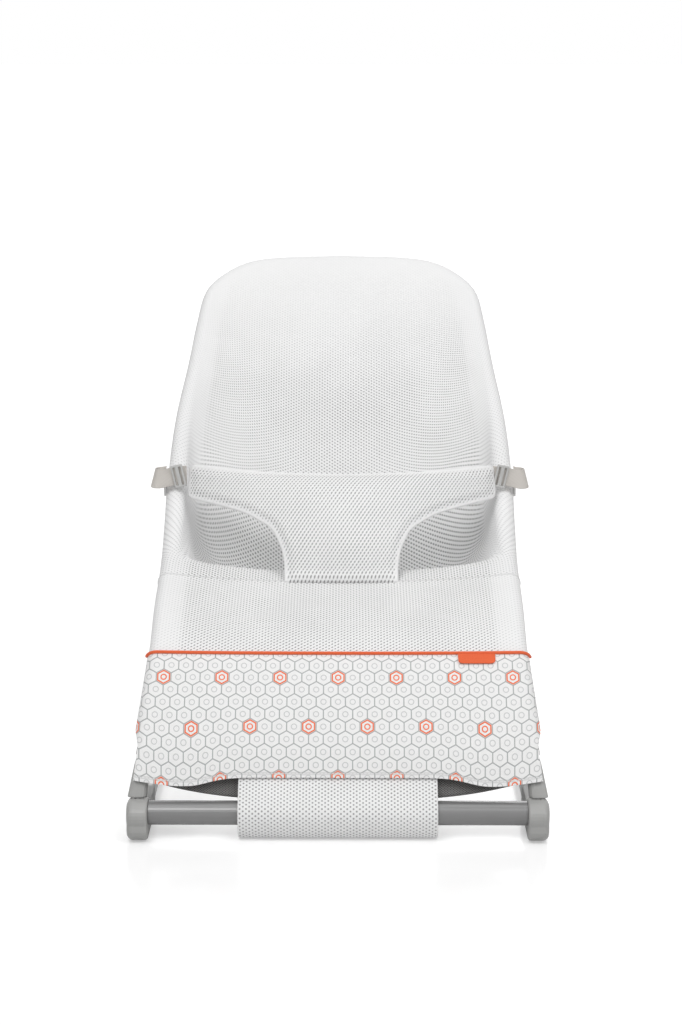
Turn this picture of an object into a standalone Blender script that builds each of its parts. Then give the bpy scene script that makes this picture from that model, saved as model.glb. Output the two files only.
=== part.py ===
"""Baby bouncer: a tubular seat frame with a mesh sling, hinged on a floor frame.

Blender 4.5, metres, +Z up. The front of the bouncer faces -Y and X runs across it.
The floor is z = 0. The sizes below measure y from just behind the front of the feet; at
the end everything moves forward by CENTRE_Y, so that the bouncer is centred on the origin.
"""

import math

import bmesh
import bpy
from mathutils import Matrix, Vector

# Driving sizes: floor frame
CENTRE_Y = 0.3309
FOOT_CENTRE_X = 0.2005
FOOT_WIDTH = 0.021
FOOT_LENGTH = 0.080
FOOT_EDGE = 0.0060
FOOT_INNER_EDGE = 0.0026
FOOT_HEEL_HEIGHT = 0.0272
HINGE_Y = 0.014
HINGE_Z = 0.0265
HUB_RADIUS = 0.020
HUB_TOP_RADIUS = 0.0155
CROSS_RADIUS = 0.0122
CROSS_WALL = 0.0016
CROSS_BOSS_LENGTH = 0.012
RAIL_RADIUS = 0.010
RAIL_Z = 0.0145
RAIL_END_RADIUS = 0.0078
BASE_REAR_Y = 0.640
BASE_CORNER = 0.060
PAD_DEPTH = 0.0045
PAD_PROUD = 0.0015
PAD_WIDTH = 0.013
PAD_LENGTH = 0.052
REAR_PAD_LENGTH = 0.036
REAR_PAD_WALL = 0.0036
REAR_PAD_SETBACK = 0.017
REAR_PAD_Y = BASE_REAR_Y - BASE_CORNER - REAR_PAD_SETBACK - REAR_PAD_LENGTH / 2

# Driving sizes: hinge inside each foot
SLOT_WIDTH = 0.0090
INNER_CHEEK = 0.0045
SLOT_FRONT_ANGLE = 97.0
DISC_THICKNESS = 0.0028
DISC_RADIUS = 0.0135
TONGUE_THICKNESS = 0.0048
TONGUE_RADIUS = 0.0132
PIN_RADIUS = 0.0040
PIN_HEAD_RADIUS = 0.0062
PIN_HEAD_LENGTH = 0.0010
BOSS_RADIUS = 0.0070
BUSH_WALL = 0.0027
INDEX_HOLE_RADIUS = 0.0008
INDEX_HOLE_CIRCLE = 0.0112
INDEX_ANGLES = (0.0, 12.5, 25.0)
BUTTON_RADIUS = 0.0105
BUTTON_THICKNESS = 0.0032
BUTTON_TRAVEL = 0.0015
BUTTON_RECESS = 0.0058
BUTTON_PROUD = 0.0005
BUTTON_LEG_RADIUS = 0.0016
BUTTON_LEG_CIRCLE = 0.0080
WASHER_THICKNESS = 0.0007
WASHER_WIDTH = 0.0022

# Driving sizes: seat frame
ARM_WIDTH = 0.0196
ARM_END_WIDTH = 0.0150
ARM_DEPTH = 0.0160
ARM_NECK_DEPTH = 0.0120
ARM_EDGE = 0.0055
ARM_LENGTH = 0.0560
ARM_FOOT = 0.0100
ARM_CLEARANCE = 0.0008
ARM_LEAN = 26.0
ARM_X = 0.1999
TUBE_RADIUS = 0.0080
TUBE_END_RADIUS = 0.0058
TUBE_START = 0.0285
KNEE_RISE = 0.0190
KNEE_X = 0.1935
HOOP_JOINT = 0.0300
# Seat tube centre line on the right side, from the knee bend to the head: x, y, z.
SEAT_PATH = (
    (0.1840, 0.1010, 0.1600),
    (0.1845, 0.1700, 0.1895),
    (0.1850, 0.2550, 0.2135),
    (0.1870, 0.3200, 0.2400),
    (0.1887, 0.3790, 0.2710),
    (0.1850, 0.4570, 0.3300),
    (0.1747, 0.5270, 0.3840),
    (0.1670, 0.5870, 0.4295),
    (0.1590, 0.6200, 0.4585),
    (0.1400, 0.6370, 0.4745),
    (0.1120, 0.6495, 0.4865),
    (0.0700, 0.6545, 0.4910),
    (0.0000, 0.6560, 0.4925),
)
HOOP_START = 6
SPREADER_Y = 0.1850
SPREADER_RADIUS = 0.0060

# Driving sizes: fabric
CLOTH = 0.0024
PRINT_CLOTH = 0.0028
PRINT_GAP = 0.0018
WRAP_START = -70.0
HEM_WRAP_START = 58.0
HEM_WRAP_Y = (0.0400, 0.0670)
SPAN_EDGE = 0.90
HEM_Y = 0.0290
PIPING_Y = 0.1000
PIPING_RADIUS = 0.0016
SEAM_Y = 0.2215
SEAM_SAG = 0.0105
# Middle of the seat sling against its side tube: y on the tube, then y and z at the middle.
SLING = (
    (0.2225, 0.2225, 0.2035),
    (0.2500, 0.2500, 0.2070),
    (0.2720, 0.2700, 0.1950),
    (0.3000, 0.2900, 0.1750),
    (0.3300, 0.3120, 0.1560),
    (0.3600, 0.3380, 0.1460),
    (0.3900, 0.3650, 0.1490),
    (0.4200, 0.3880, 0.1700),
    (0.4500, 0.4070, 0.2050),
    (0.4800, 0.4320, 0.2460),
    (0.5100, 0.4640, 0.2950),
    (0.5400, 0.5020, 0.3460),
    (0.5700, 0.5450, 0.3960),
    (0.6000, 0.5920, 0.4400),
    (0.6200, 0.6200, 0.4640),
)
SLING_POWER = 2.5
POCKET_POWER = 4.0
POCKET_Y = (0.2500, 0.2850, 0.3900, 0.4700)
FLAP_HALF_WIDTH = 0.1000
FLAP_CLOTH = 0.0050
FLAP_END = 385.0
FLAP_HANG = 1.38
TAG_WIDTH = 0.038
TAG_HEIGHT = 0.012
TAG_X = 0.1415
TAG_THICKNESS = 0.0010
NET_HALF_WIDTH = 0.1700
NET_CLOTH = 0.0012
NET_BEHIND = 0.0082
NET_SEAT = 0.0012
NET_DROOP = 0.0150
NET_RISE = 0.0750
NET_TUCK = (0.0180, 0.0400)

# Driving sizes: waist belt
BELT_HALF_THICKNESS = 0.0052
BELT_EDGE = 0.0090
BELT_EDGE_HALF = 0.0010
BELT_END_X = 0.1745
BELT_END_BACK = 0.0700
BELT_END_DROP = 0.0054
# Belt half width against the distance below its top edge.
BELT_WIDTHS = (
    (0.0000, 0.1690), (0.0025, 0.1725), (0.0060, 0.1742), (0.0120, 0.1745), (0.0180, 0.1745),
    (0.0260, 0.1745), (0.0335, 0.1742), (0.0385, 0.1720), (0.0420, 0.1620), (0.0475, 0.1370),
    (0.0560, 0.1060), (0.0665, 0.0862), (0.0740, 0.0750), (0.0860, 0.0680), (0.0980, 0.0632),
    (0.1100, 0.0608), (0.1210, 0.0602), (0.1300, 0.0600),
)
# Middle of the belt from its top edge to the crotch seam: y, z.
BELT_DROP = ((0.2900, 0.3080), (0.2600, 0.2920), (0.2340, 0.2520), (0.2222, 0.2074))
WEB_THICKNESS = 0.0014
WEB_WIDTH = 0.0220
# Webbing loop past the belt's right end: x, y.
WEB_PATH = ((0.1755, 0.3588), (0.1800, 0.3566), (0.1860, 0.3553), (0.1950, 0.3550), (0.2050, 0.3556),
            (0.2110, 0.3580), (0.2140, 0.3630), (0.2132, 0.3682), (0.2095, 0.3714), (0.2018, 0.3722))
WEB_Z = 0.2905
SLIDER_WIDTH = 0.0138
SLIDER_HEIGHT = 0.0266
SLIDER_X = 0.1845
SLIDER_Y = 0.3532
SLIDER_TILT = 12.0
SLIDER_THICKNESS = 0.0020
SLOT_HEIGHT = 0.0216
SLOT_OPENING = 0.0026
ANCHOR_SIZE = (0.0030, 0.0120, 0.0200)

# Fits
GAP = 0.0003
SEAT_GAP = 0.0005
CLOTH_GAP = 0.0013
SIDES = (("left", -1), ("right", 1))

# Colours: red, green, blue, roughness, metallic
LOOKS = {
    "foot_plastic": (0.34, 0.34, 0.33, 0.42, 0.0),
    "tube_paint": (0.30, 0.30, 0.30, 0.35, 0.3),
    "steel": (0.60, 0.60, 0.62, 0.30, 1.0),
    "rubber": (0.10, 0.10, 0.10, 0.80, 0.0),
    "white_mesh": (0.80, 0.80, 0.80, 0.90, 0.0),
    "print_cloth": (0.78, 0.78, 0.78, 0.90, 0.0),
    "orange_trim": (0.80, 0.13, 0.05, 0.70, 0.0),
    "dark_mesh": (0.11, 0.11, 0.11, 0.95, 0.0),
    "webbing": (0.46, 0.44, 0.42, 0.80, 0.0),
    "buckle_plastic": (0.38, 0.37, 0.36, 0.40, 0.0),
}


def clear_scene():
    for old in list(bpy.data.objects):
        bpy.data.objects.remove(old)


def collection(name):
    made = bpy.data.collections.new(name)
    bpy.context.scene.collection.children.link(made)
    return made


def material(name):
    found = bpy.data.materials.get(name)
    if found:
        return found
    red, green, blue, roughness, metallic = LOOKS[name]
    made = bpy.data.materials.new(name)
    made.use_nodes = True
    shader = made.node_tree.nodes["Principled BSDF"]
    shader.inputs["Base Color"].default_value = (red, green, blue, 1)
    shader.inputs["Roughness"].default_value = roughness
    shader.inputs["Metallic"].default_value = metallic
    made.diffuse_color = (red, green, blue, 1)
    return made


def finish(obj, look, smooth=30):
    """Gives an object its material and smooth shading between sharp edges."""
    obj.data.materials.clear()
    obj.data.materials.append(material(look))
    if obj.type == "MESH":
        obj.data.shade_smooth()
        obj.data.set_sharp_from_angle(angle=math.radians(smooth))
    return obj


def add_mesh(name, bm, home):
    """One object from a bmesh. A closed surface that still faces inward is turned out, so cuts hold."""
    bmesh.ops.recalc_face_normals(bm, faces=bm.faces)
    if all(edge.is_manifold for edge in bm.edges) and bm.calc_volume(signed=True) < 0.0:
        bmesh.ops.reverse_faces(bm, faces=bm.faces)
    mesh = bpy.data.meshes.new(name)
    bm.to_mesh(mesh)
    bm.free()
    obj = bpy.data.objects.new(name, mesh)
    home.objects.link(obj)
    return obj


def as_mesh(obj, home):
    """Replaces an object by the mesh that its modifiers and curve give, with welded caps."""
    name = obj.name
    graph = bpy.context.evaluated_depsgraph_get()
    mesh = bpy.data.meshes.new_from_object(obj.evaluated_get(graph))
    bm = bmesh.new()
    bm.from_mesh(mesh)
    bmesh.ops.remove_doubles(bm, verts=bm.verts, dist=0.00002)
    bm.to_mesh(mesh)
    bm.free()
    made = bpy.data.objects.new(name, mesh)
    made.matrix_world = obj.matrix_world
    bpy.data.objects.remove(obj)
    made.name = name
    home.objects.link(made)
    return made


def cylinder(name, radius, start, end, home, sides=32):
    """A capped cylinder between two points."""
    start = Vector(start)
    end = Vector(end)
    bm = bmesh.new()
    bmesh.ops.create_cone(bm, cap_ends=True, segments=sides, radius1=radius, radius2=radius,
                          depth=(end - start).length)
    turn = Vector((0, 0, 1)).rotation_difference(end - start).to_matrix().to_4x4()
    bm.transform(Matrix.Translation((start + end) / 2) @ turn)
    return add_mesh(name, bm, home)


def box(name, low, high, home, bevel=0.0, segments=3):
    """A box between two corners, with rounded edges if a bevel is given."""
    low = Vector(low)
    high = Vector(high)
    bm = bmesh.new()
    bmesh.ops.create_cube(bm, size=1)
    bm.transform(Matrix.Translation((low + high) / 2) @ Matrix.Diagonal((*(high - low), 1)))
    obj = add_mesh(name, bm, home)
    if bevel:
        edges = obj.modifiers.new("edges", "BEVEL")
        edges.width = bevel
        edges.segments = segments
    return obj


def cut(obj, cutter, operation="DIFFERENCE"):
    """Cuts a piece by a cutter, or joins the cutter to it, and keeps the result as its mesh."""
    change = obj.modifiers.new(operation.lower(), "BOOLEAN")
    change.operation = operation
    change.object = cutter
    change.solver = "EXACT"
    home = obj.users_collection[0]
    obj = as_mesh(obj, home)
    cutter.hide_render = True
    cutter.display_type = "WIRE"
    return obj


def smooth_path(points, steps):
    """Points on a Catmull-Rom curve through the given points, steps to each span."""
    points = [Vector(p) for p in points]
    ends = [2 * points[0] - points[1]] + points + [2 * points[-1] - points[-2]]
    found = []
    for i in range(1, len(ends) - 2):
        a, b, c, d = ends[i - 1], ends[i], ends[i + 1], ends[i + 2]
        for k in range(steps):
            t = k / steps
            found.append(0.5 * (2 * b + (c - a) * t + (2 * a - 5 * b + 4 * c - d) * t * t
                                + (3 * b - a - 3 * c + d) * t ** 3))
    found.append(points[-1])
    return found


def tube(name, points, radius, home, factors=None, resolution=5):
    """A solid round tube along points; factors scale the radius point by point."""
    curve = bpy.data.curves.new(name, "CURVE")
    curve.dimensions = "3D"
    curve.bevel_depth = radius
    curve.bevel_resolution = resolution
    curve.use_fill_caps = True
    spline = curve.splines.new("POLY")
    spline.points.add(len(points) - 1)
    for i, place in enumerate(points):
        spline.points[i].co = (*place, 1)
        spline.points[i].radius = factors[i] if factors else 1
    obj = bpy.data.objects.new(name, curve)
    home.objects.link(obj)
    return obj


def turned(name, profile, home, sides=32):
    """A solid turned about the X axis from a closed profile of (x, radius) points."""
    bm = bmesh.new()
    points = [bm.verts.new((x, 0, r)) for x, r in profile]
    for a, b in zip(points, points[1:] + points[:1]):
        bm.edges.new((a, b))
    bmesh.ops.spin(bm, geom=bm.verts[:] + bm.edges[:], axis=(1, 0, 0), cent=(0, 0, 0),
                   angle=math.tau, steps=sides, use_merge=False)
    bmesh.ops.remove_doubles(bm, verts=bm.verts, dist=0.000001)
    return add_mesh(name, bm, home)


def outline_solid(name, points, half_width, home, hole=None):
    """A flat outline of (u, v) points in a 2D curve, extruded to both sides along local Z."""
    curve = bpy.data.curves.new(name, "CURVE")
    curve.dimensions = "2D"
    curve.fill_mode = "BOTH"
    curve.extrude = half_width
    for loop in (points, hole):
        if loop:
            spline = curve.splines.new("POLY")
            spline.points.add(len(loop) - 1)
            for i, (u, v) in enumerate(loop):
                spline.points[i].co = (u, v, 0, 1)
            spline.use_cyclic_u = True
    obj = bpy.data.objects.new(name, curve)
    home.objects.link(obj)
    return obj


def arc(centre, radius, start, end, steps):
    """Points of (u, v) on an arc, in degrees."""
    found = []
    for i in range(steps + 1):
        angle = math.radians(start + (end - start) * i / steps)
        found.append((centre[0] + radius * math.cos(angle), centre[1] + radius * math.sin(angle)))
    return found


def sheet(name, rows, thickness, home, look):
    """A closed sheet of cloth from rows of points; the points lie in the middle of it."""
    bm = bmesh.new()
    made = [[bm.verts.new(p) for p in row] for row in rows]
    for above, below in zip(made, made[1:]):
        for i in range(len(above) - 1):
            bm.faces.new((above[i], above[i + 1], below[i + 1], below[i]))
    obj = add_mesh(name, bm, home)
    thick = obj.modifiers.new("cloth", "SOLIDIFY")
    thick.thickness = thickness
    thick.offset = 0
    thick.use_even_offset = True
    return finish(obj, look, 60)


def foot_x():
    """Inner and outer X of the slot in a right-hand foot, and of the foot."""
    inner = FOOT_CENTRE_X - FOOT_WIDTH / 2
    slot = inner + INNER_CHEEK
    return inner, slot, slot + SLOT_WIDTH, inner + FOOT_WIDTH


# Floor frame
def base_tube(home):
    start_y = FOOT_LENGTH - 0.034
    points = []
    for y in (start_y, FOOT_LENGTH + GAP, FOOT_LENGTH + 2 * GAP, 0.150):
        points.append(Vector((FOOT_CENTRE_X, y, RAIL_Z)))
    points.append(Vector((FOOT_CENTRE_X, 0.30, RAIL_Z)))
    corner = arc((FOOT_CENTRE_X - BASE_CORNER, BASE_REAR_Y - BASE_CORNER), BASE_CORNER, 0, 90, 8)
    points += [Vector((x, y, RAIL_Z)) for x, y in corner]
    points += [Vector((-p.x, p.y, p.z)) for p in reversed(points)]
    factors = [1.0] * len(points)
    for i in (0, 1):
        factors[i] = factors[-1 - i] = RAIL_END_RADIUS / RAIL_RADIUS
    made = as_mesh(tube("base_tube", points, RAIL_RADIUS, home, factors), home)
    return finish(made, "tube_paint")


def front_cross_tube(home):
    inner = foot_x()[0] - GAP
    bore = CROSS_RADIUS - CROSS_WALL
    made = turned("front_cross_tube", [(-inner, CROSS_RADIUS), (inner, CROSS_RADIUS), (inner, bore),
                                       (-inner, bore)], home, 40)
    made.location = (0, HINGE_Y, HINGE_Z)
    return finish(made, "tube_paint")


def foot_outline():
    """Side outline of a foot as (y, z): a hub with a lower top, a heel with the rail socket, a flat sole."""
    nose = []
    for y, z in arc((0, 0), 1, 200, -2, 17):
        nose.append((HINGE_Y + y * (HUB_RADIUS if y < 0 else HUB_TOP_RADIUS),
                     HINGE_Z + z * (HUB_RADIUS if z < 0 and y < 0 else HUB_TOP_RADIUS)))
    heel_top = (FOOT_LENGTH, FOOT_HEEL_HEIGHT)
    toe = arc((HINGE_Y - HUB_RADIUS + 0.012, PAD_PROUD + 0.012), 0.012, 262, 182, 5)
    waist = (HINGE_Y + HUB_TOP_RADIUS + 0.0020, FOOT_HEEL_HEIGHT - 0.0020)
    return nose + [waist, heel_top, (FOOT_LENGTH, PAD_PROUD)] + toe


def foot_body(name, home):
    """The foot's side outline through its width, drawn in along a quarter circle at both sides."""
    outline = [Vector(p) for p in foot_outline()]
    inward = []
    for i, place in enumerate(outline):
        before = (place - outline[i - 1]).normalized()
        after = (outline[(i + 1) % len(outline)] - place).normalized()
        first, second = Vector((before.y, -before.x)), Vector((after.y, -after.x))
        inward.append((first + second) / (1 + first.dot(second)))
    inner, outer = foot_x()[0], foot_x()[3]
    turns = [math.radians(22.5 * k) for k in range(5)]
    stations = []
    for side, way, edge in ((inner, 1, FOOT_INNER_EDGE), (outer, -1, FOOT_EDGE)):
        line = [(side + way * edge * (1 - math.cos(t)), edge * (1 - math.sin(t))) for t in turns]
        stations += line if way > 0 else reversed(line)
    bm = bmesh.new()
    rings = [[bm.verts.new((x, *(p + n * inset))) for p, n in zip(outline, inward)] for x, inset in stations]
    for a, b in zip(rings, rings[1:]):
        for i in range(len(a)):
            bm.faces.new((a[i - 1], a[i], b[i], b[i - 1]))
    bm.faces.new(rings[0])
    bm.faces.new(rings[-1])
    return add_mesh(name, bm, home)


def front_foot(side, sign, home, tools):
    """Moulded foot: two hinge cheeks, a boss for the cross tube and a socket for the floor rail."""
    inner, slot, slot_end, outer = foot_x()
    made = foot_body("front_foot_" + side, home)
    boss = cylinder("boss", CROSS_RADIUS - CROSS_WALL - GAP, (inner - CROSS_BOSS_LENGTH, HINGE_Y, HINGE_Z),
                    (inner + 0.001, HINGE_Y, HINGE_Z), tools)
    made = cut(made, boss, "UNION")
    well_radius = DISC_RADIUS + 0.0007
    rear = HINGE_Y + HUB_RADIUS + 0.020
    well = arc((HINGE_Y, HINGE_Z), well_radius, SLOT_FRONT_ANGLE, 360, 24)
    outline = [(well[0][0], HINGE_Z + 0.040)] + well
    outline += [(rear, HINGE_Z + 0.004), (rear, HINGE_Z + 0.040)]
    hollow = outline_solid("slot", outline, SLOT_WIDTH / 2, tools)
    hollow.matrix_world = Matrix(((0, 0, 1, slot + SLOT_WIDTH / 2), (1, 0, 0, 0), (0, 1, 0, 0), (0, 0, 0, 1)))
    made = cut(made, as_mesh(hollow, tools))
    pin_hole = cylinder("pin_hole", PIN_RADIUS + GAP / 2, (inner + 0.0012, HINGE_Y, HINGE_Z),
                        (outer + 0.01, HINGE_Y, HINGE_Z), tools)
    made = cut(made, pin_hole)
    recess = cylinder("recess", BUTTON_RADIUS + GAP, (outer - BUTTON_RECESS, HINGE_Y, HINGE_Z),
                      (outer + 0.01, HINGE_Y, HINGE_Z), tools, 40)
    made = cut(made, recess)
    for k in range(2):
        leg_y = HINGE_Y + BUTTON_LEG_CIRCLE * (1 - 2 * k)
        leg = cylinder("leg_hole", BUTTON_LEG_RADIUS + GAP, (slot_end - 0.0023, leg_y, HINGE_Z),
                       (outer - 0.0021, leg_y, HINGE_Z), tools, 12)
        made = cut(made, leg)
    socket = cylinder("socket", RAIL_END_RADIUS + GAP, (FOOT_CENTRE_X, FOOT_LENGTH - 0.035, RAIL_Z),
                      (FOOT_CENTRE_X, FOOT_LENGTH + 0.01, RAIL_Z), tools, 24)
    made = cut(made, socket)
    y0, y1 = pad_span()
    well = box("well", (FOOT_CENTRE_X - PAD_WIDTH / 2 - GAP, y0 - GAP, -0.01),
               (FOOT_CENTRE_X + PAD_WIDTH / 2 + GAP, y1 + GAP, PAD_DEPTH + GAP), tools)
    made = cut(made, well)
    return placed(made, sign, "foot_plastic")


def pad_span():
    start = HINGE_Y - HUB_RADIUS + 0.014
    return start, start + PAD_LENGTH


def placed(obj, sign, look, smooth=35):
    """Mirrors a right-hand piece to the left side if sign is -1, and finishes it."""
    obj.data.transform(obj.matrix_world)
    obj.matrix_world = Matrix.Identity(4)
    if sign < 0:
        obj.data.transform(Matrix.Diagonal((-1, 1, 1, 1)))
        obj.data.flip_normals()
    return finish(obj, look, smooth)


def front_pad(side, sign, home):
    y0, y1 = pad_span()
    made = box("front_pad_" + side, (FOOT_CENTRE_X - PAD_WIDTH / 2, y0, 0),
               (FOOT_CENTRE_X + PAD_WIDTH / 2, y1, PAD_DEPTH), home)
    return placed(made, sign, "rubber")


def rear_pad(side, sign, home, tools):
    """Rubber sleeve with a flat sole on the floor rail, near its rear corner."""
    half = RAIL_RADIUS + REAR_PAD_WALL
    made = box("rear_pad_" + side, (FOOT_CENTRE_X - half, REAR_PAD_Y - REAR_PAD_LENGTH / 2, 0),
               (FOOT_CENTRE_X + half, REAR_PAD_Y + REAR_PAD_LENGTH / 2, RAIL_Z + half), home, 0.004)
    bore = cylinder("pad_bore", RAIL_RADIUS + GAP, (FOOT_CENTRE_X, REAR_PAD_Y - 0.1, RAIL_Z),
                    (FOOT_CENTRE_X, REAR_PAD_Y + 0.1, RAIL_Z), tools, 32)
    made = cut(made, bore)
    return placed(made, sign, "rubber")


# Hinge parts
def hinge_pin(side, sign, home):
    inner, slot, slot_end, outer = foot_x()
    head = outer - BUTTON_RECESS + GAP
    start = inner + 0.0016
    made = turned("hinge_pin_" + side, [(start, 0), (start, PIN_RADIUS), (head, PIN_RADIUS),
                                        (head, PIN_HEAD_RADIUS - 0.0002),
                                        (head + PIN_HEAD_LENGTH, PIN_HEAD_RADIUS - 0.0006),
                                        (head + PIN_HEAD_LENGTH, 0)], home, 24)
    made.location = (0, HINGE_Y, HINGE_Z)
    bpy.context.view_layer.update()
    return placed(made, sign, "steel")


def index_disc(side, sign, home, tools):
    """Recline disc: its holes are the seat positions, and its boss carries the rubber bush."""
    inner, slot, slot_end, outer = foot_x()
    face = slot_end - GAP
    back = face - DISC_THICKNESS
    bore = PIN_RADIUS + GAP / 2
    boss_end = slot + GAP
    made = turned("index_disc_" + side, [(face, bore), (face, DISC_RADIUS), (back, DISC_RADIUS),
                                         (back, BOSS_RADIUS), (boss_end, BOSS_RADIUS), (boss_end, bore)],
                  home, 28)
    made.location = (0, HINGE_Y, HINGE_Z)
    bpy.context.view_layer.update()
    made = as_mesh(made, home)
    for step in INDEX_ANGLES:
        angle = math.radians(150 + step)
        y = HINGE_Y + INDEX_HOLE_CIRCLE * math.cos(angle)
        z = HINGE_Z + INDEX_HOLE_CIRCLE * math.sin(angle)
        made = cut(made, cylinder("index_hole", INDEX_HOLE_RADIUS, (back - 0.001, y, z),
                                  (face + 0.001, y, z), tools, 8))
    return placed(made, sign, "steel")


def torsion_bush(side, sign, home):
    """Rubber ring between the disc's boss and the arm, which lets the seat bounce."""
    slot = foot_x()[1]
    x0 = slot + SEAT_GAP
    x1 = x0 + TONGUE_THICKNESS
    inside = BOSS_RADIUS + GAP
    outside = inside + BUSH_WALL
    made = turned("torsion_bush_" + side, [(x0, inside), (x0, outside), (x1, outside), (x1, inside)],
                  home, 24)
    made.location = (0, HINGE_Y, HINGE_Z)
    bpy.context.view_layer.update()
    return placed(made, sign, "rubber")


def lock_button(side, sign, home, tools):
    outer = foot_x()[3]
    slot_end = foot_x()[2]
    top = outer + BUTTON_PROUD
    under = top - BUTTON_THICKNESS
    made = cylinder("lock_button_" + side, BUTTON_RADIUS, (under, HINGE_Y, HINGE_Z),
                    (top, HINGE_Y, HINGE_Z), home, 28)
    edges = made.modifiers.new("edges", "BEVEL")
    edges.width = 0.0008
    edges.segments = 1
    edges.limit_method = "ANGLE"
    made = as_mesh(made, home)
    tip = slot_end + BUTTON_TRAVEL
    for k in range(2):
        leg_y = HINGE_Y + BUTTON_LEG_CIRCLE * (1 - 2 * k)
        leg = cylinder("button_leg", BUTTON_LEG_RADIUS, (tip, leg_y, HINGE_Z),
                       (under + 0.001, leg_y, HINGE_Z), tools, 10)
        made = cut(made, leg, "UNION")
    return placed(made, sign, "foot_plastic")


def button_spring(side, sign, home):
    """Flat spring washer under the button, round the heads of the legs."""
    outer = foot_x()[3]
    floor = outer - BUTTON_RECESS + GAP
    outside = BUTTON_RADIUS - GAP
    hole = outside - (outside - BUTTON_LEG_CIRCLE - BUTTON_LEG_RADIUS) + GAP
    made = turned("button_spring_" + side, [(floor, hole), (floor, outside),
                                            (floor + WASHER_THICKNESS, outside),
                                            (floor + WASHER_THICKNESS, hole)], home, 24)
    made.location = (0, HINGE_Y, HINGE_Z)
    bpy.context.view_layer.update()
    return placed(made, sign, "steel")


# Seat frame
def arm_axis():
    """Direction of the arm in the YZ plane, from the hinge to the seat tube's end."""
    lean = math.radians(90 - ARM_LEAN)
    return Vector((0, math.cos(lean), math.sin(lean)))


def seat_arm(side, sign, home, tools):
    """Moulded arm: a thin tongue in the foot's slot and a socket for the seat tube."""
    slot = foot_x()[1]
    x0 = slot + SEAT_GAP
    x1 = x0 + TONGUE_THICKNESS
    hinge = Vector((0, HINGE_Y, HINGE_Z))
    turn = Matrix.Translation(hinge) @ Matrix.Rotation(math.radians(-ARM_LEAN), 4, "X")
    path = side_path()
    start, ahead = path[0], (path[1] - path[0]).normalized()
    body = box("seat_arm_" + side, (-ARM_WIDTH / 2, -ARM_DEPTH / 2, ARM_FOOT),
               (ARM_WIDTH / 2, ARM_DEPTH / 2, ARM_LENGTH), home, ARM_EDGE)
    body = as_mesh(body, home)
    lean_in = ahead.x / ahead.dot(arm_axis())
    for vert in body.data.vertices:
        share = (vert.co.z - ARM_FOOT) / (ARM_LENGTH - ARM_FOOT)
        vert.co.x *= 1 + (ARM_END_WIDTH / ARM_WIDTH - 1) * share
        vert.co.x += ARM_X + lean_in * (vert.co.z - TUBE_START)
    body.data.transform(turn)
    clearance = cylinder("hub_clearance", HUB_TOP_RADIUS + ARM_CLEARANCE, (ARM_X - 0.02, HINGE_Y, HINGE_Z),
                         (ARM_X + 0.02, HINGE_Y, HINGE_Z), tools, 44)
    body = cut(body, clearance)
    neck = box("neck", (x0, -ARM_NECK_DEPTH / 2, 0), (x1, ARM_NECK_DEPTH / 2, HUB_TOP_RADIUS + 0.006), tools)
    neck.data.transform(turn)
    body = cut(body, neck, "UNION")
    disc = cylinder("tongue", TONGUE_RADIUS, (x0, HINGE_Y, HINGE_Z), (x1, HINGE_Y, HINGE_Z), tools, 36)
    body = cut(body, disc, "UNION")
    bore = cylinder("bush_bore", BOSS_RADIUS + BUSH_WALL + 2 * GAP, (x0 - 0.01, HINGE_Y, HINGE_Z),
                    (x1 + 0.01, HINGE_Y, HINGE_Z), tools)
    body = cut(body, bore)
    socket = cylinder("tube_socket", TUBE_END_RADIUS + GAP, start - ahead * GAP,
                      start + ahead * ARM_LENGTH, tools, 24)
    body = cut(body, socket)
    return placed(body, sign, "foot_plastic")


def side_path(steps=3):
    """Centre line of the right-hand seat tube from its arm to the middle of the head."""
    hinge = Vector((0, HINGE_Y, HINGE_Z))
    start = hinge + arm_axis() * TUBE_START
    knee = hinge + arm_axis() * (ARM_LENGTH + KNEE_RISE)
    start.x = ARM_X
    knee.x = KNEE_X
    return smooth_path([start, knee] + [Vector(p) for p in SEAT_PATH], steps)


def seat_tube(side, sign, home):
    """Side tube, swaged down at both ends to plug into the arm and the head hoop."""
    path = side_path()
    last = (HOOP_START + 2) * 3
    ahead = (path[1] - path[0]).normalized()
    reduced = TUBE_END_RADIUS / TUBE_RADIUS
    plug = (ARM_LENGTH - TUBE_START) * 1.01 + SEAT_GAP
    points = [path[0], path[0] + ahead * plug, path[0] + ahead * (plug + GAP)]
    points += [p for p in path[:last + 1] if (p - path[0]).length > plug + 0.004]
    factors = [reduced, reduced] + [1.0] * (len(points) - 2)
    joint = path[last]
    ahead = (path[last + 1] - joint).normalized()
    points += [joint + ahead * GAP, joint + ahead * (HOOP_JOINT - 0.002)]
    factors += [reduced, reduced]
    made = as_mesh(tube("seat_tube_" + side, points, TUBE_RADIUS, home, factors), home)
    return placed(made, sign, "tube_paint")


def head_hoop(home, tools):
    """Bent tube round the head end, bored at both ends for the side tubes."""
    path = side_path()[(HOOP_START + 2) * 3:]
    joint, ahead = path[0], (path[1] - path[0]).normalized()
    half = [joint + ahead * (2 * GAP)] + [p for p in path[1:] if (p - joint).length > 0.004]
    points = half + [Vector((-p.x, p.y, p.z)) for p in reversed(half[:-1])]
    made = as_mesh(tube("head_hoop", points, TUBE_RADIUS, home), home)
    for sign in (1, -1):
        mirror = Vector((sign, 1, 1))
        bore = cylinder("hoop_bore", TUBE_END_RADIUS + GAP, (joint - ahead * 0.01) * mirror,
                        (joint + ahead * HOOP_JOINT) * mirror, tools, 24)
        made = cut(made, bore)
    return finish(made, "tube_paint")


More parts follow.
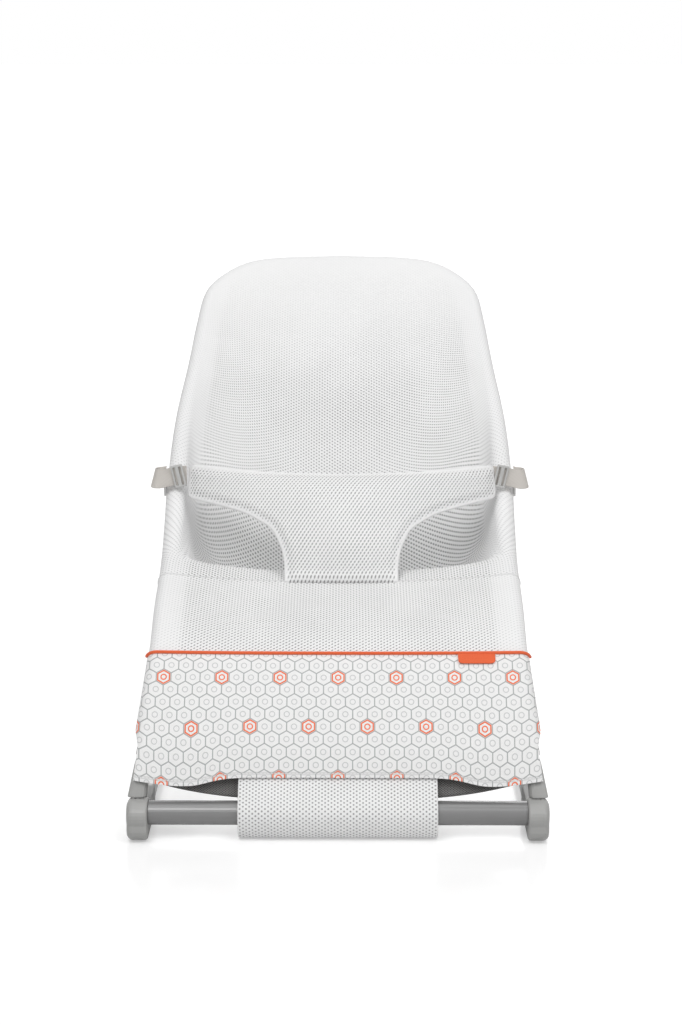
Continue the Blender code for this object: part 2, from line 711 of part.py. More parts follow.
def spreader_bar(home):
    """Straight bar between the side tubes under the thighs, which holds them apart."""
    place = tube_at(SPREADER_Y)[0] - Vector((0, 0, 0.0055))
    half = place.x - TUBE_RADIUS - GAP
    made = cylinder("spreader_bar", SPREADER_RADIUS, (-half, place.y, place.z), (half, place.y, place.z),
                    home, 24)
    return finish(made, "tube_paint")


# Fabric
def tube_at(y):
    """Point of the right-hand tube centre line at a given y, with its outward and upward directions."""
    path = side_path(8)
    k = 1
    while path[k].y < y:
        k += 1
    a, b = path[k - 1], path[k]
    along = (b - a).normalized()
    up = Vector((0, -along.z, along.y)).normalized()
    return a.lerp(b, (y - a.y) / (b.y - a.y)), along.cross(up).normalized(), up


def wrap(station, radius, target, steps=6, first=WRAP_START):
    """Cloth round a tube, from an angle on its outer side to where it leaves towards the target point."""
    centre, out, up = station
    a, b = (target - centre).dot(out), (target - centre).dot(up)
    end = math.atan2(b, a) % math.tau - math.acos(min(1, radius / math.hypot(a, b)))
    start = math.radians(first)
    found = []
    for i in range(steps + 1):
        angle = start + (end - start) * i / steps
        found.append(centre + (out * math.cos(angle) + up * math.sin(angle)) * radius)
    return found


def mirrored(points):
    return [Vector((-p.x, p.y, p.z)) for p in points]


def cloth_row(y, middle, radius, across=13, power=SLING_POWER, first=WRAP_START):
    """One row of cloth from side to side: round the right tube, over the span, round the left tube."""
    station = tube_at(y)
    centre, out, up = station
    edge = centre + up * radius
    span = []
    for j in range(across):
        u = SPAN_EDGE * (1 - 2 * j / (across - 1))
        share = 1 - abs(u) ** power
        span.append(Vector((u * centre.x, edge.y + (middle[0] - edge.y) * share,
                            edge.z + (middle[1] - edge.z) * share)))
    side = wrap(station, radius, span[0], first=first)
    return side + span + mirrored(reversed(side)), len(side)


def sagged(y, radius, sag):
    """Middle of a row that hangs by sag below the straight line between the tubes."""
    centre, out, up = tube_at(y)
    place = centre + up * (radius - sag)
    return place.y, place.z


def eased(x):
    x = min(1, max(0, x))
    return x * x * (3 - 2 * x)


def sling_power(y):
    """How squarely a row of the sling hangs between the tubes: more so in the pocket of the seat."""
    rise = eased((y - POCKET_Y[0]) / (POCKET_Y[1] - POCKET_Y[0]))
    fall = eased((y - POCKET_Y[2]) / (POCKET_Y[3] - POCKET_Y[2]))
    return SLING_POWER + (POCKET_POWER - SLING_POWER) * rise * (1 - fall)


def seat_cover(home):
    """White mesh sling from the crotch seam over the seat and the back, round the head tube."""
    radius = TUBE_RADIUS + CLOTH_GAP + CLOTH / 2
    table = [Vector(p) for p in SLING]
    rows = []
    for y, middle_y, middle_z in table:
        row, lip = cloth_row(y, (middle_y, middle_z), radius, power=sling_power(y))
        rows.append(row)
    bm = bmesh.new()
    grid = [[bm.verts.new(p) for p in row] for row in rows]
    for above, below in zip(grid, grid[1:]):
        for i in range(len(above) - 1):
            bm.faces.new((above[i], above[i + 1], below[i + 1], below[i]))
    last = grid[-1]
    span = last[lip:-lip]
    path = [p for p in side_path(3) if p.y > table[-1].x + 0.003]
    up = tube_at(table[-1].x - 0.01)[2]
    strips = [(last[:lip], span[0])]
    for k, place in enumerate(path):
        ahead = path[k + 1] - place if k + 1 < len(path) else Vector((-1, 0, 0))
        out = ahead.normalized().cross(up).normalized()
        near = min(span[:len(span) // 2 + 1], key=lambda v: abs(v.co.x - place.x))
        points = wrap((place, out, up), radius, near.co)
        strips.append(([bm.verts.new(p) for p in points], near))
    for points, near in reversed(strips[1:-1]):
        twin = span[len(span) - 1 - span.index(near)]
        strips.append(([bm.verts.new((-v.co.x, v.co.y, v.co.z)) for v in points], twin))
    strips.append((list(reversed(last[-lip:])), span[-1]))
    for (a, near_a), (b, near_b) in zip(strips, strips[1:]):
        for i in range(lip - 1):
            bm.faces.new((a[i], a[i + 1], b[i + 1], b[i]))
        corner = (a[-1], near_a, near_b, b[-1]) if near_a != near_b else (a[-1], near_a, b[-1])
        bm.faces.new(corner)
    obj = add_mesh("seat_cover", bm, home)
    return thicken(obj, CLOTH, "white_mesh")


def thicken(obj, thickness, look):
    thick = obj.modifiers.new("cloth", "SOLIDIFY")
    thick.thickness = thickness
    thick.offset = 0
    thick.use_even_offset = True
    return finish(obj, look, 60)


def leg_panel(home):
    """White mesh under the thighs, from the piping to the crotch seam."""
    radius = TUBE_RADIUS + CLOTH_GAP + CLOTH / 2
    rows = []
    for i in range(7):
        share = i / 6
        y = PIPING_Y + 0.0009 + (SEAM_Y - PIPING_Y - 0.0009) * share
        middle = sagged(y, radius, 0.001 + (SEAM_SAG - 0.001) * share ** 1.5)
        rows.append(cloth_row(y, middle, radius, 13)[0])
    return sheet("leg_panel", rows, CLOTH, home, "white_mesh")


def print_radius():
    return TUBE_RADIUS + PRINT_GAP + PRINT_CLOTH / 2


def print_wrap_start(y):
    """Where the print's side edge lies round the tube: on its front at the hem, under it above the knee."""
    share = eased((y - HEM_WRAP_Y[0]) / (HEM_WRAP_Y[1] - HEM_WRAP_Y[0]))
    return HEM_WRAP_START + (WRAP_START - HEM_WRAP_START) * share


def print_panel(home):
    """Printed apron over the front of the seat, from the piping to its hem above the cross tube."""
    rows = []
    for i in range(9):
        y = HEM_Y + (PIPING_Y - 0.0009 - HEM_Y) * i / 8
        rows.append(cloth_row(y, sagged(y, print_radius(), 0.002), print_radius(), 13,
                              first=print_wrap_start(y))[0])
    return sheet("print_panel", rows, PRINT_CLOTH, home, "print_cloth")


def piping(home):
    """Round orange cord over the join of the print and the leg panel."""
    radius = print_radius() + PRINT_CLOTH / 2 + GAP + PIPING_RADIUS
    row = cloth_row(PIPING_Y, sagged(PIPING_Y, radius, 0.002), radius, 13)[0]
    made = as_mesh(tube("piping", row, PIPING_RADIUS, home, resolution=2), home)
    return finish(made, "orange_trim")


def print_line(run, depth):
    """Point of the print's middle line, a run up from the hem and a depth behind its front face."""
    radius = print_radius() + PRINT_CLOTH / 2
    foot, up = tube_at(HEM_Y)[0], tube_at(HEM_Y)[2]
    rise = Vector((0, up.z, -up.y))
    if run <= 0:
        return foot + rise * run + up * (radius - depth - 0.002)
    y = HEM_Y + rise.y * run
    centre, out, up = tube_at(y)
    return centre + up * (radius - depth - 0.002)


def lining_net(home):
    """Dark net behind the print, hanging a little below its hem."""
    rows = []
    for i in range(8):
        share = i / 7
        row = []
        for j in range(13):
            x = NET_HALF_WIDTH * (1 - j / 6)
            low = -NET_DROOP * (1 - abs(x / NET_HALF_WIDTH) ** 3)
            run = low + (NET_RISE - low) * share
            tuck = min(1, max(0, (run - NET_TUCK[0]) / NET_TUCK[1]))
            depth = PRINT_CLOTH + NET_BEHIND - (NET_BEHIND - NET_SEAT) * tuck
            place = print_line(run, depth)
            row.append(Vector((x, place.y, place.z)))
        rows.append(row)
    return sheet("lining_net", rows, NET_CLOTH, home, "dark_mesh")


def wrap_flap(home):
    """Padded tongue that comes out under the hem and wraps the cross tube."""
    radius = CROSS_RADIUS + SEAT_GAP + FLAP_CLOTH / 2
    depth = PRINT_CLOTH + 2 * GAP + FLAP_CLOTH / 2
    top, low = print_line(0.013, depth), print_line(-0.001, depth)
    a, b = low.y - HINGE_Y, low.z - HINGE_Z
    start = math.degrees(math.atan2(b, a) + math.acos(radius / math.hypot(a, b)))
    line = [(top.y, top.z), (low.y, low.z)]
    for y, z in arc((HINGE_Y, HINGE_Z), radius, start, FLAP_END, 14):
        line.append((y, HINGE_Z + (z - HINGE_Z) * (FLAP_HANG if z < HINGE_Z else 1)))
    rows = [[Vector((FLAP_HALF_WIDTH * (1 - j), y, z)) for j in range(3)] for y, z in line]
    return sheet("wrap_flap", rows, FLAP_CLOTH, home, "white_mesh")


def cover_tag(home):
    """Plain cloth tag that hangs from the piping on the right."""
    rows = []
    for i in range(4):
        y = PIPING_Y - 0.0035 - TAG_HEIGHT * 0.21 * i
        place = Vector((0, *sagged(y, print_radius() + PRINT_CLOTH / 2 + GAP + TAG_THICKNESS / 2, 0.0)))
        rows.append([Vector((TAG_X + TAG_WIDTH * (k / 3 - 0.5), place.y, place.z)) for k in range(4)])
    return sheet("cover_tag", rows, TAG_THICKNESS, home, "orange_trim")


# Waist belt
def belt_point(x, drop):
    """Point of the belt's middle surface at x, a drop below its top edge."""
    lengths, total = [0.0], 0.0
    line = smooth_path([Vector((0, y, z)) for y, z in BELT_DROP], 6)
    for a, b in zip(line, line[1:]):
        total += (b - a).length
        lengths.append(total)
    goal = min(drop / BELT_WIDTHS[-1][0], 1) * total
    k = 1
    while k < len(line) - 1 and lengths[k] < goal:
        k += 1
    middle = line[k - 1].lerp(line[k], (goal - lengths[k - 1]) / (lengths[k] - lengths[k - 1]))
    upper = 1 - min(1, drop / BELT_WIDTHS[-1][0]) ** 1.5
    bend = upper * (x / BELT_END_X) ** 2
    side = upper * abs(x / BELT_END_X) ** 1.5
    top = line[0] + Vector((0, BELT_END_BACK * bend, -BELT_END_DROP * bend))
    down = (middle - line[0]) * (1 - side) + Vector((0, 0, -drop)) * side
    return Vector((x, top.y + down.y, top.z + down.z))


def belt_pad(home):
    """Padded T of the belt: crotch strap and two wings, thin at its sewn edge."""
    across = 21
    rows = [[belt_point(w * (1 - 2 * j / (across - 1)), t) for j in range(across)] for t, w in BELT_WIDTHS]
    bm = bmesh.new()
    sides = []
    normals = []
    last = len(rows) - 1
    for i, row in enumerate(rows):
        line = []
        for j in range(across):
            du = row[min(j + 1, across - 1)] - row[max(j - 1, 0)]
            dv = rows[min(i + 1, last)][j] - rows[max(i - 1, 0)][j]
            line.append(du.cross(dv).normalized())
        normals.append(line)
    for way in (1, -1):
        grid = []
        for i, row in enumerate(rows):
            width = (row[0] - row[-1]).length
            line = []
            for j, place in enumerate(row):
                inset = min(j, across - 1 - j) / (across - 1) * width
                edge = min(inset, (place - rows[0][j]).length, (place - rows[last][j]).length)
                near = 1 - min(1, edge / BELT_EDGE)
                half = BELT_EDGE_HALF + (BELT_HALF_THICKNESS - BELT_EDGE_HALF) * math.sqrt(1 - near * near)
                line.append(bm.verts.new(place + normals[i][j] * half * way))
            grid.append(line)
        sides.append(grid)
        for above, below in zip(grid, grid[1:]):
            for j in range(across - 1):
                bm.faces.new((above[j], above[j + 1], below[j + 1], below[j]))
    front, back = sides
    for j in range(across - 1):
        bm.faces.new((front[0][j], front[0][j + 1], back[0][j + 1], back[0][j]))
        bm.faces.new((front[last][j], front[last][j + 1], back[last][j + 1], back[last][j]))
    for i in range(last):
        bm.faces.new((front[i][0], front[i + 1][0], back[i + 1][0], back[i][0]))
        bm.faces.new((front[i][-1], front[i + 1][-1], back[i + 1][-1], back[i][-1]))
    return finish(add_mesh("belt_pad", bm, home), "white_mesh", 60)


def strap_loop(side, sign, home):
    """Webbing from the belt's end, folded back on itself outside the seat tube."""
    line = smooth_path([Vector((x, y, 0)) for x, y in WEB_PATH], 2)
    rows = []
    for place in line:
        rows.append([Vector((place.x, place.y, WEB_Z + WEB_WIDTH * (k / 2 - 0.5))) for k in range(3)])
    made = as_mesh(sheet("strap_loop_" + side, rows, WEB_THICKNESS, home, "webbing"), home)
    return placed(made, sign, "webbing", 60)


def slider(side, sign, home, tools):
    """Flat buckle with two slots on the webbing beside the belt."""
    half_x, half_z = SLIDER_WIDTH / 2, SLIDER_HEIGHT / 2
    made = box("slider_" + side, (-half_x, -SLIDER_THICKNESS / 2, -half_z),
               (half_x, SLIDER_THICKNESS / 2, half_z), home, 0.0008, 2)
    made = as_mesh(made, home)
    for way in (1, -1):
        middle = way * SLIDER_WIDTH * 0.24
        slot = box("slot", (middle - SLOT_OPENING / 2, -0.01, -SLOT_HEIGHT / 2),
                   (middle + SLOT_OPENING / 2, 0.01, SLOT_HEIGHT / 2), tools)
        made = cut(made, slot)
    turn = Matrix.Rotation(math.radians(SLIDER_TILT), 4, "Y")
    made.data.transform(Matrix.Translation((SLIDER_X, SLIDER_Y, WEB_Z)) @ turn)
    return placed(made, sign, "buckle_plastic")


def strap_anchor(side, sign, home):
    """Small plate on the outside of the seat tube, which holds the end of the webbing."""
    start = WEB_PATH[-1][1] + WEB_THICKNESS / 2 + 2 * GAP
    deep, wide, tall = ANCHOR_SIZE
    place = tube_at(start + wide / 2)[0]
    x = place.x + TUBE_RADIUS + CLOTH_GAP + CLOTH + GAP
    made = box("strap_anchor_" + side, (x, start, place.z - tall / 2),
               (x + deep, start + wide, place.z + tall / 2), home, 0.0010, 2)
    return placed(as_mesh(made, home), sign, "buckle_plastic")


def set_origin(obj, place):
    """Puts the origin of a piece on the axis that it turns or slides on."""
    obj.data.transform(obj.matrix_world)
    obj.data.transform(Matrix.Translation(-Vector(place)))
    obj.matrix_world = Matrix.Translation(place)


def main():
    clear_scene()
    home = collection("baby_bouncer")
    tools = collection("cutters")
    base_tube(home)
    front_cross_tube(home)
    for side, sign in SIDES:
        front_foot(side, sign, home, tools)
        front_pad(side, sign, home)
        rear_pad(side, sign, home, tools)
        hinge_pin(side, sign, home)
        index_disc(side, sign, home, tools)
        torsion_bush(side, sign, home)
        lock_button(side, sign, home, tools)
        button_spring(side, sign, home)
        seat_arm(side, sign, home, tools)
        seat_tube(side, sign, home)
    head_hoop(home, tools)
    spreader_bar(home)
    seat_cover(home)
    leg_panel(home)
    print_panel(home)
    piping(home)
    lining_net(home)
    wrap_flap(home)
    cover_tag(home)
    belt_pad(home)
    for side, sign in SIDES:
        strap_loop(side, sign, home)
        slider(side, sign, home, tools)
        strap_anchor(side, sign, home)
    hinge = (0, HINGE_Y, HINGE_Z)
    seam = (0, BELT_DROP[-1][0], BELT_DROP[-1][1])
    floor_parts = ("base", "front", "rear", "hinge")
    belt_parts = ("belt", "strap_loop", "slider")
    for obj in list(home.objects):
        if obj.name.startswith(belt_parts):
            set_origin(obj, seam)
        elif not obj.name.startswith(floor_parts):
            set_origin(obj, hinge)
        obj.location.y -= CENTRE_Y


main()
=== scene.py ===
import math

import bmesh
import bpy
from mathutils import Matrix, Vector


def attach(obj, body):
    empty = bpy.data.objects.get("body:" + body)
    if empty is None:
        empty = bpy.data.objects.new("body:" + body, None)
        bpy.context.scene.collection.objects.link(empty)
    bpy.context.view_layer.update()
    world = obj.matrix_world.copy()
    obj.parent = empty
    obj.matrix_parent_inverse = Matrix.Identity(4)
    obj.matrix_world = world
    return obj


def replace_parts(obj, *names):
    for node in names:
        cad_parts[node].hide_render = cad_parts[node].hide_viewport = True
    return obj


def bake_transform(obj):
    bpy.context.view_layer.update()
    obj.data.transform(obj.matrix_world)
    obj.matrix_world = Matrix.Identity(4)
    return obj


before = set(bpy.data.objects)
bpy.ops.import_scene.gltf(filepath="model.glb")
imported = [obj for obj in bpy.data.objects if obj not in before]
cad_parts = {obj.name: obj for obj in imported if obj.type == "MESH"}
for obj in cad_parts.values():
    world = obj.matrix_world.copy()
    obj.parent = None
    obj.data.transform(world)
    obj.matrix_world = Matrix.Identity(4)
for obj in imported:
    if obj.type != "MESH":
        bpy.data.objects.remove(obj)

# Cloth stands for the frame's soft pieces, and the others get their finished materials.

for spare in ("Cube", "Light", "Camera"):
    if spare in bpy.data.objects:
        bpy.data.objects.remove(bpy.data.objects[spare])
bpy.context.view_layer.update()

# Sizes shared with the frame, in metres. Here y runs from the front of the feet, and CENTRE_Y takes it to
# the frame's own y. SEAT_PATH is the centre line of the right-hand seat tube up to the middle of the head.
CENTRE_Y = 0.3309
HINGE = (0.0140, 0.0265)
ARM_LEAN = 26.0
ARM_X = 0.1999
ARM_LENGTH = 0.0560
KNEE_RISE = 0.0190
KNEE_X = 0.1935
TUBE_RADIUS = 0.0080
TUBE_START = 0.0285
CROSS_RADIUS = 0.0122
SEAT_PATH = (
    (0.1840, 0.1010, 0.1600), (0.1845, 0.1700, 0.1895), (0.1850, 0.2550, 0.2135),
    (0.1870, 0.3200, 0.2400), (0.1887, 0.3790, 0.2710), (0.1850, 0.4570, 0.3300),
    (0.1747, 0.5270, 0.3840), (0.1670, 0.5870, 0.4295), (0.1590, 0.6200, 0.4585),
    (0.1400, 0.6370, 0.4745), (0.1120, 0.6495, 0.4865), (0.0700, 0.6545, 0.4910),
    (0.0000, 0.6560, 0.4925),
)

# The cloth of the seat, its gap to the tubes, and the angle round a tube at which it starts, in degrees
CLOTH = 0.0024
CLOTH_GAP = 0.0013
SLING_RADIUS = TUBE_RADIUS + CLOTH_GAP + CLOTH / 2
WRAP_START = -70.0
WRAP_STEPS = 14
TIGHT_POINTS = 2.5
RIM_SHARE = 0.42
RIM_ANGLE = 55.0
SPAN_EDGE = 0.90
SEAM_Y = 0.2215
SEAM_SAG = 0.0105
SEAM_LAP = 0.0013
SEAM_TUCK = 0.0009
# Rows of the sling: y on the tubes, then y and z of the row's middle
SLING = (
    (0.2225, 0.2225, 0.2035), (0.2500, 0.2500, 0.2070), (0.2720, 0.2700, 0.1950),
    (0.3000, 0.2900, 0.1750), (0.3300, 0.3120, 0.1560), (0.3600, 0.3380, 0.1460),
    (0.3900, 0.3650, 0.1490), (0.4200, 0.3880, 0.1700), (0.4500, 0.4070, 0.2050),
    (0.4800, 0.4320, 0.2460), (0.5100, 0.4640, 0.2950), (0.5400, 0.5020, 0.3460),
    (0.5700, 0.5450, 0.3960), (0.6000, 0.5920, 0.4400), (0.6200, 0.6200, 0.4640),
)
SLING_POWER = 2.5
POCKET_POWER = 5.5
POCKET_Y = (0.2500, 0.2850, 0.3900, 0.4700)
HEAD_COLUMN_GAP = 0.0002
# How far the leg panel passes the seam, its sag at the piping, and how proud it lies at the piping and seam
LEG_LAP = 0.0006
LEG_SAG = 0.0010
LEG_PROUD = (0.0006, 0.0010)

# The printed apron, the cord over its join, the tag, and the net behind it
PRINT_CLOTH = 0.0028
PRINT_GAP = 0.0018
PRINT_FACE = TUBE_RADIUS + PRINT_GAP + PRINT_CLOTH
PRINT_SAG = 0.0020
HEM_Y = 0.0290
HEM_HALF_WIDTH = 0.2050
HEM_WAVE = 0.0085
HEM_WAVE_AT = 0.74
HEM_CORNER = 0.0035
HEM_WRAP_START = 58.0
HEM_WRAP_Y = (0.0400, 0.0670)
PIPING_Y = 0.1000
PIPING_RADIUS = 0.00168
PIPING_WRAP_START = 14.0
PIPING_PROUD = 0.0009
CORD_SIDES = 14
CORD_END_LENGTH = 0.6
CORD_END_RADIUS = 0.55
JOIN_GAP = 0.0004
TAG_WIDTH = 0.038
TAG_HEIGHT = 0.012
TAG_X = 0.1415
TAG_CLOTH = 0.0010
TAG_PROUD = 0.0008
TAG_BELOW = 0.0010
TAG_CORNER = 0.0040
TAG_LENGTH_IN_Y = 0.63 * TAG_HEIGHT
NET_HALF_WIDTH = 0.1700
NET_HEM = 0.0050
NET_TOP = 0.0750
NET_CLOTH = 0.0012
NET_BEHIND = 0.0082
NET_SEAT = 0.0012
NET_DROOP = 0.0150
# Beside the flap the net shows below the hem, deepest in the middle and less towards the tubes
NET_SHOWN = 0.0225
NET_SHOWN_X = (0.085, 0.014)
NET_CURVE_X = 0.200
NET_CLOSES = (0.018, 0.040)

# The padded flap round the cross tube; below the tube its loop hangs slack
FLAP_HALF_WIDTH = 0.1000
FLAP_CLOTH = 0.0050
FLAP_GAP = 0.0005
FLAP_BEHIND = 0.0006
FLAP_TOP = 0.0130
FLAP_LEAVES = -0.0010
FLAP_END = 385.0
FLAP_HANG = 1.52

# The belt: half widths at drops below its top edge, and y and z of its middle line from top to seam
BELT_WIDTHS = (
    (0.0000, 0.1690), (0.0025, 0.1725), (0.0060, 0.1742), (0.0120, 0.1745), (0.0180, 0.1745),
    (0.0260, 0.1745), (0.0335, 0.1742), (0.0385, 0.1720), (0.0420, 0.1620), (0.0475, 0.1370),
    (0.0560, 0.1060), (0.0665, 0.0862), (0.0740, 0.0750), (0.0860, 0.0680), (0.0980, 0.0632),
    (0.1100, 0.0608), (0.1210, 0.0602), (0.1300, 0.0600),
)
BELT_LENGTH = BELT_WIDTHS[-1][0]
BELT_DROP = ((0.2900, 0.3080), (0.2600, 0.2920), (0.2340, 0.2520), (0.2222, 0.2074))
BELT_SHIFT = 0.0025
BELT_HALF_THICKNESS = 0.0052
BELT_BOUND_HALF = 0.0021
BELT_RIM_HALF = 0.0007
BELT_ROUNDING = 0.0016
BELT_STITCH_INSET = 0.0062
BELT_STITCH_DIP = 0.0004
BELT_PADDING_RUN = 0.0120
BELT_TIGHT = (0.0015, 0.0050)
BELT_WIDENS = (0.0018, 0.0600)
BELT_END_X = 0.1745
BELT_END_BACK = 0.0700
BELT_END_DROP = 0.0054
BELT_SEWN = 0.0100
BELT_SEWN_SHIFT = (0.0045, 0.0028)
WEB_THICKNESS = 0.0014
WEB_WIDTH = 0.0220
WEB_PATH = (
    (0.1755, 0.3588), (0.1800, 0.3566), (0.1860, 0.3553), (0.1950, 0.3550), (0.2050, 0.3556),
    (0.2110, 0.3580), (0.2140, 0.3630), (0.2132, 0.3682), (0.2095, 0.3714), (0.2018, 0.3722),
)
WEB_Z = 0.2905
WEB_FREE_X = 0.1860
WEB_FREE_RUN = 0.0220
WEB_LEAN = 28.0
WEB_DROOP = 0.0045
WEB_SPLAY = 0.22
SIDES = (("left", -1), ("right", 1))

# Camera, floor and light. A lift is a smooth ramp: from, to, and the strengths there, over the floor's y
# and over the distance from the object. A lamp is its name, place, size and power.
CAMERA_LENS = 65.04
CAMERA_PLACE = (0.0116, -1.7010, 0.7985)
CAMERA_TILT = 75.0
CAMERA_TURN = 0.282
FLOOR_HALF = 30
FLOOR_LIT = 0.90
FLOOR_SEEN = 0.70
FLOOR_LIFT = (-0.37, -0.25, 0.33, 0.50)
FLOOR_FAR_LIFT = (0.8, 2.2, 0.30, 0.75)
WORLD_STRENGTH = 0.25
LAMP_AIM = (0.0, 0.0, 0.2)
LAMPS = (
    ("key", (-0.7, -1.6, 2.2), 1.4, 30.0),
    ("fill", (1.2, -1.4, 1.9), 1.4, 18.5),
    ("top", (0.0, 0.2, 2.6), 1.8, 11.5),
    ("rear", (0.3, 2.2, 1.2), 1.4, 12.0),
)

# Colours and, in metres, the scale of the cloths
WHITE = (0.86, 0.86, 0.86)
GREY_INK = (0.27, 0.29, 0.29)
ORANGE_INK = (0.85, 0.16, 0.05)
HEXAGON = 0.0148
RING_RADIUS = 0.18
ORANGE_EVERY = 4
STITCH_PITCH = 0.0036
HEM_STITCH = 0.0045


# Material tools
class Nodes:
    """Short forms for building a material's nodes."""

    def __init__(self, name, roughness=0.5, metallic=0.0, sheen=0.0):
        self.mat = bpy.data.materials.new(name)
        self.mat.use_nodes = True
        self.tree = self.mat.node_tree
        self.shader = self.tree.nodes["Principled BSDF"]
        self.shader.inputs["Roughness"].default_value = roughness
        self.shader.inputs["Metallic"].default_value = metallic
        if sheen:
            self.shader.inputs["Sheen Weight"].default_value = sheen
            self.shader.inputs["Sheen Roughness"].default_value = 0.5

    def put(self, target, value):
        if isinstance(value, bpy.types.NodeSocket):
            self.tree.links.new(value, target)
        elif value is not None:
            target.default_value = value

    def math(self, operation, a, b=None):
        node = self.tree.nodes.new("ShaderNodeMath")
        node.operation = operation
        for socket, value in zip(node.inputs, (a, b)):
            self.put(socket, value)
        return node.outputs[0]

    def vec(self, operation, a, b=None, scale=None):
        node = self.tree.nodes.new("ShaderNodeVectorMath")
        node.operation = operation
        self.put(node.inputs[0], a)
        if b is not None:
            self.put(node.inputs[1], b)
        if scale is not None:
            self.put(node.inputs["Scale"], scale)
        return node.outputs["Value"] if operation in ("LENGTH", "DOT_PRODUCT") else node.outputs[0]

    def ramp(self, value, low, high, out_low=0.0, out_high=1.0):
        """Smooth step from out_low at low to out_high at high."""
        node = self.tree.nodes.new("ShaderNodeMapRange")
        node.interpolation_type = "SMOOTHSTEP"
        for socket, number in zip(node.inputs, (value, low, high, out_low, out_high)):
            self.put(socket, number)
        return node.outputs[0]

    def mix(self, share, a, b):
        node = self.tree.nodes.new("ShaderNodeMix")
        node.data_type = "RGBA"
        self.put(node.inputs[0], share)
        for socket, value in ((node.inputs[6], a), (node.inputs[7], b)):
            self.put(socket, value if isinstance(value, bpy.types.NodeSocket) else (*value, 1))
        return node.outputs[2]

    def uv(self):
        node = self.tree.nodes.new("ShaderNodeUVMap")
        node.uv_map = "cloth"
        return node.outputs[0]

    def place(self):
        return self.tree.nodes.new("ShaderNodeTexCoord").outputs["Object"]

    def noise(self, vector, scale, detail=2.0):
        node = self.tree.nodes.new("ShaderNodeTexNoise")
        self.put(node.inputs["Vector"], vector)
        node.inputs["Scale"].default_value = scale
        node.inputs["Detail"].default_value = detail
        return node.outputs[0]

    def parts(self, vector):
        """The x and y of a vector."""
        node = self.tree.nodes.new("ShaderNodeSeparateXYZ")
        self.put(node.inputs[0], vector)
        return node.outputs[0], node.outputs[1]

    def finish(self, colour, height=None, distance=0.001, strength=0.5):
        self.put(self.shader.inputs["Base Color"],
                 colour if isinstance(colour, bpy.types.NodeSocket) else (*colour, 1))
        if height is not None:
            bump = self.tree.nodes.new("ShaderNodeBump")
            bump.inputs["Strength"].default_value = strength
            bump.inputs["Distance"].default_value = distance
            self.put(bump.inputs["Height"], height)
            self.tree.links.new(bump.outputs[0], self.shader.inputs["Normal"])
        return self.mat


def cell_offset(n, point, cell, shift):
    """Where a point lies in its cell of a lattice, from the cell's middle."""
    q = n.vec("ADD", n.vec("DIVIDE", point, (*cell, 1)), (shift, shift, 0))
    q = n.vec("SUBTRACT", n.vec("FRACTION", q), (0.5, 0.5, 0))
    return n.vec("MULTIPLY", q, (*cell, 0))


def lattice(n, point, cell, hole, slant=False):
    """Distance to the nearest hole of a centred lattice, in hole sizes; slanted holes lie diagonally."""
    angle = math.atan2(cell[1], cell[0]) if slant else 0.0
    cosine, sine = math.cos(angle), math.sin(angle)
    found = []
    for shift in (0.0, 0.5):
        x, y = n.parts(cell_offset(n, point, cell, shift))
        along = n.math("ADD", n.math("MULTIPLY", x, cosine / hole[0]), n.math("MULTIPLY", y, sine / hole[0]))
        aside = n.math("SUBTRACT", n.math("MULTIPLY", y, cosine / hole[1]),
                       n.math("MULTIPLY", x, sine / hole[1]))
        found.append(n.math("SQRT", n.math("ADD", n.math("MULTIPLY", along, along),
                                           n.math("MULTIPLY", aside, aside))))
    return n.math("MINIMUM", *found)


def mesh_cloth(name, colour, dark, cell=(0.0063, 0.0041), hole=(0.00105, 0.00058), slant=True, fades=(),
               seam=None, closed=0.28):
    """Knitted spacer mesh: small openings between raised threads, painted with the dark colour as shade and
    with painted shade round their rims, both fading where the attribute tight is high.
    """
    n = Nodes(name, 0.92, sheen=0.12)
    uv = n.uv()
    v = n.parts(uv)[1]
    away = lattice(n, uv, cell, hole, slant)
    # Painted shade: the openings take the dark colour where open_ is 1, and their rims are darker where ridge
    # is low
    open_ = n.ramp(away, 0.65, 1.45, 1.0, 0.0)
    ridge = n.ramp(away, 0.9, 2.6)
    thread = n.noise(uv, 1400, 3)
    # Each fade scales the openings' painted shade over a stretch along the cloth
    for low, high, first, last in fades:
        open_ = n.math("MULTIPLY", open_, n.ramp(v, low, high, first, last))
        ridge = n.math("MAXIMUM", ridge, n.ramp(v, low, high, 1 - first, 1 - last))
    tight = n.tree.nodes.new("ShaderNodeAttribute")
    tight.attribute_name = "tight"
    tight = tight.outputs["Fac"]
    # Where tight is high, on a tube or a bound edge, the openings keep only the share closed of their painted
    # shade, and the rims lose theirs
    open_ = n.math("MULTIPLY", open_, n.ramp(tight, 0.0, 1.0, 1.0, closed))
    ridge = n.math("MAXIMUM", ridge, n.math("MULTIPLY", tight, 0.9))
    cloud = n.noise(n.place(), 14, 2)
    tone = n.mix(n.ramp(thread, 0.3, 0.7), tuple(0.96 * c for c in colour), colour)
    # Painted shade round the rims of the openings
    tone = n.mix(ridge, tuple(0.86 * c for c in colour), tone)
    tone = n.mix(n.ramp(cloud, 0.35, 0.65), tone, tuple(0.98 * c for c in colour))
    # Painted shade in the openings
    shade = n.mix(open_, tone, dark)
    relief = n.math("SUBTRACT", 1.0, n.ramp(tight, 0.0, 1.0, 0.0, 0.8))
    height = n.math("MULTIPLY", n.ramp(away, 0.4, 2.2), relief)
    height = n.math("ADD", height, n.math("MULTIPLY", thread, 0.2))
    if seam is not None:
        shade, height = stitches(n, uv, seam, shade, height)
    return n.finish(shade, height, 0.0007, 0.4)


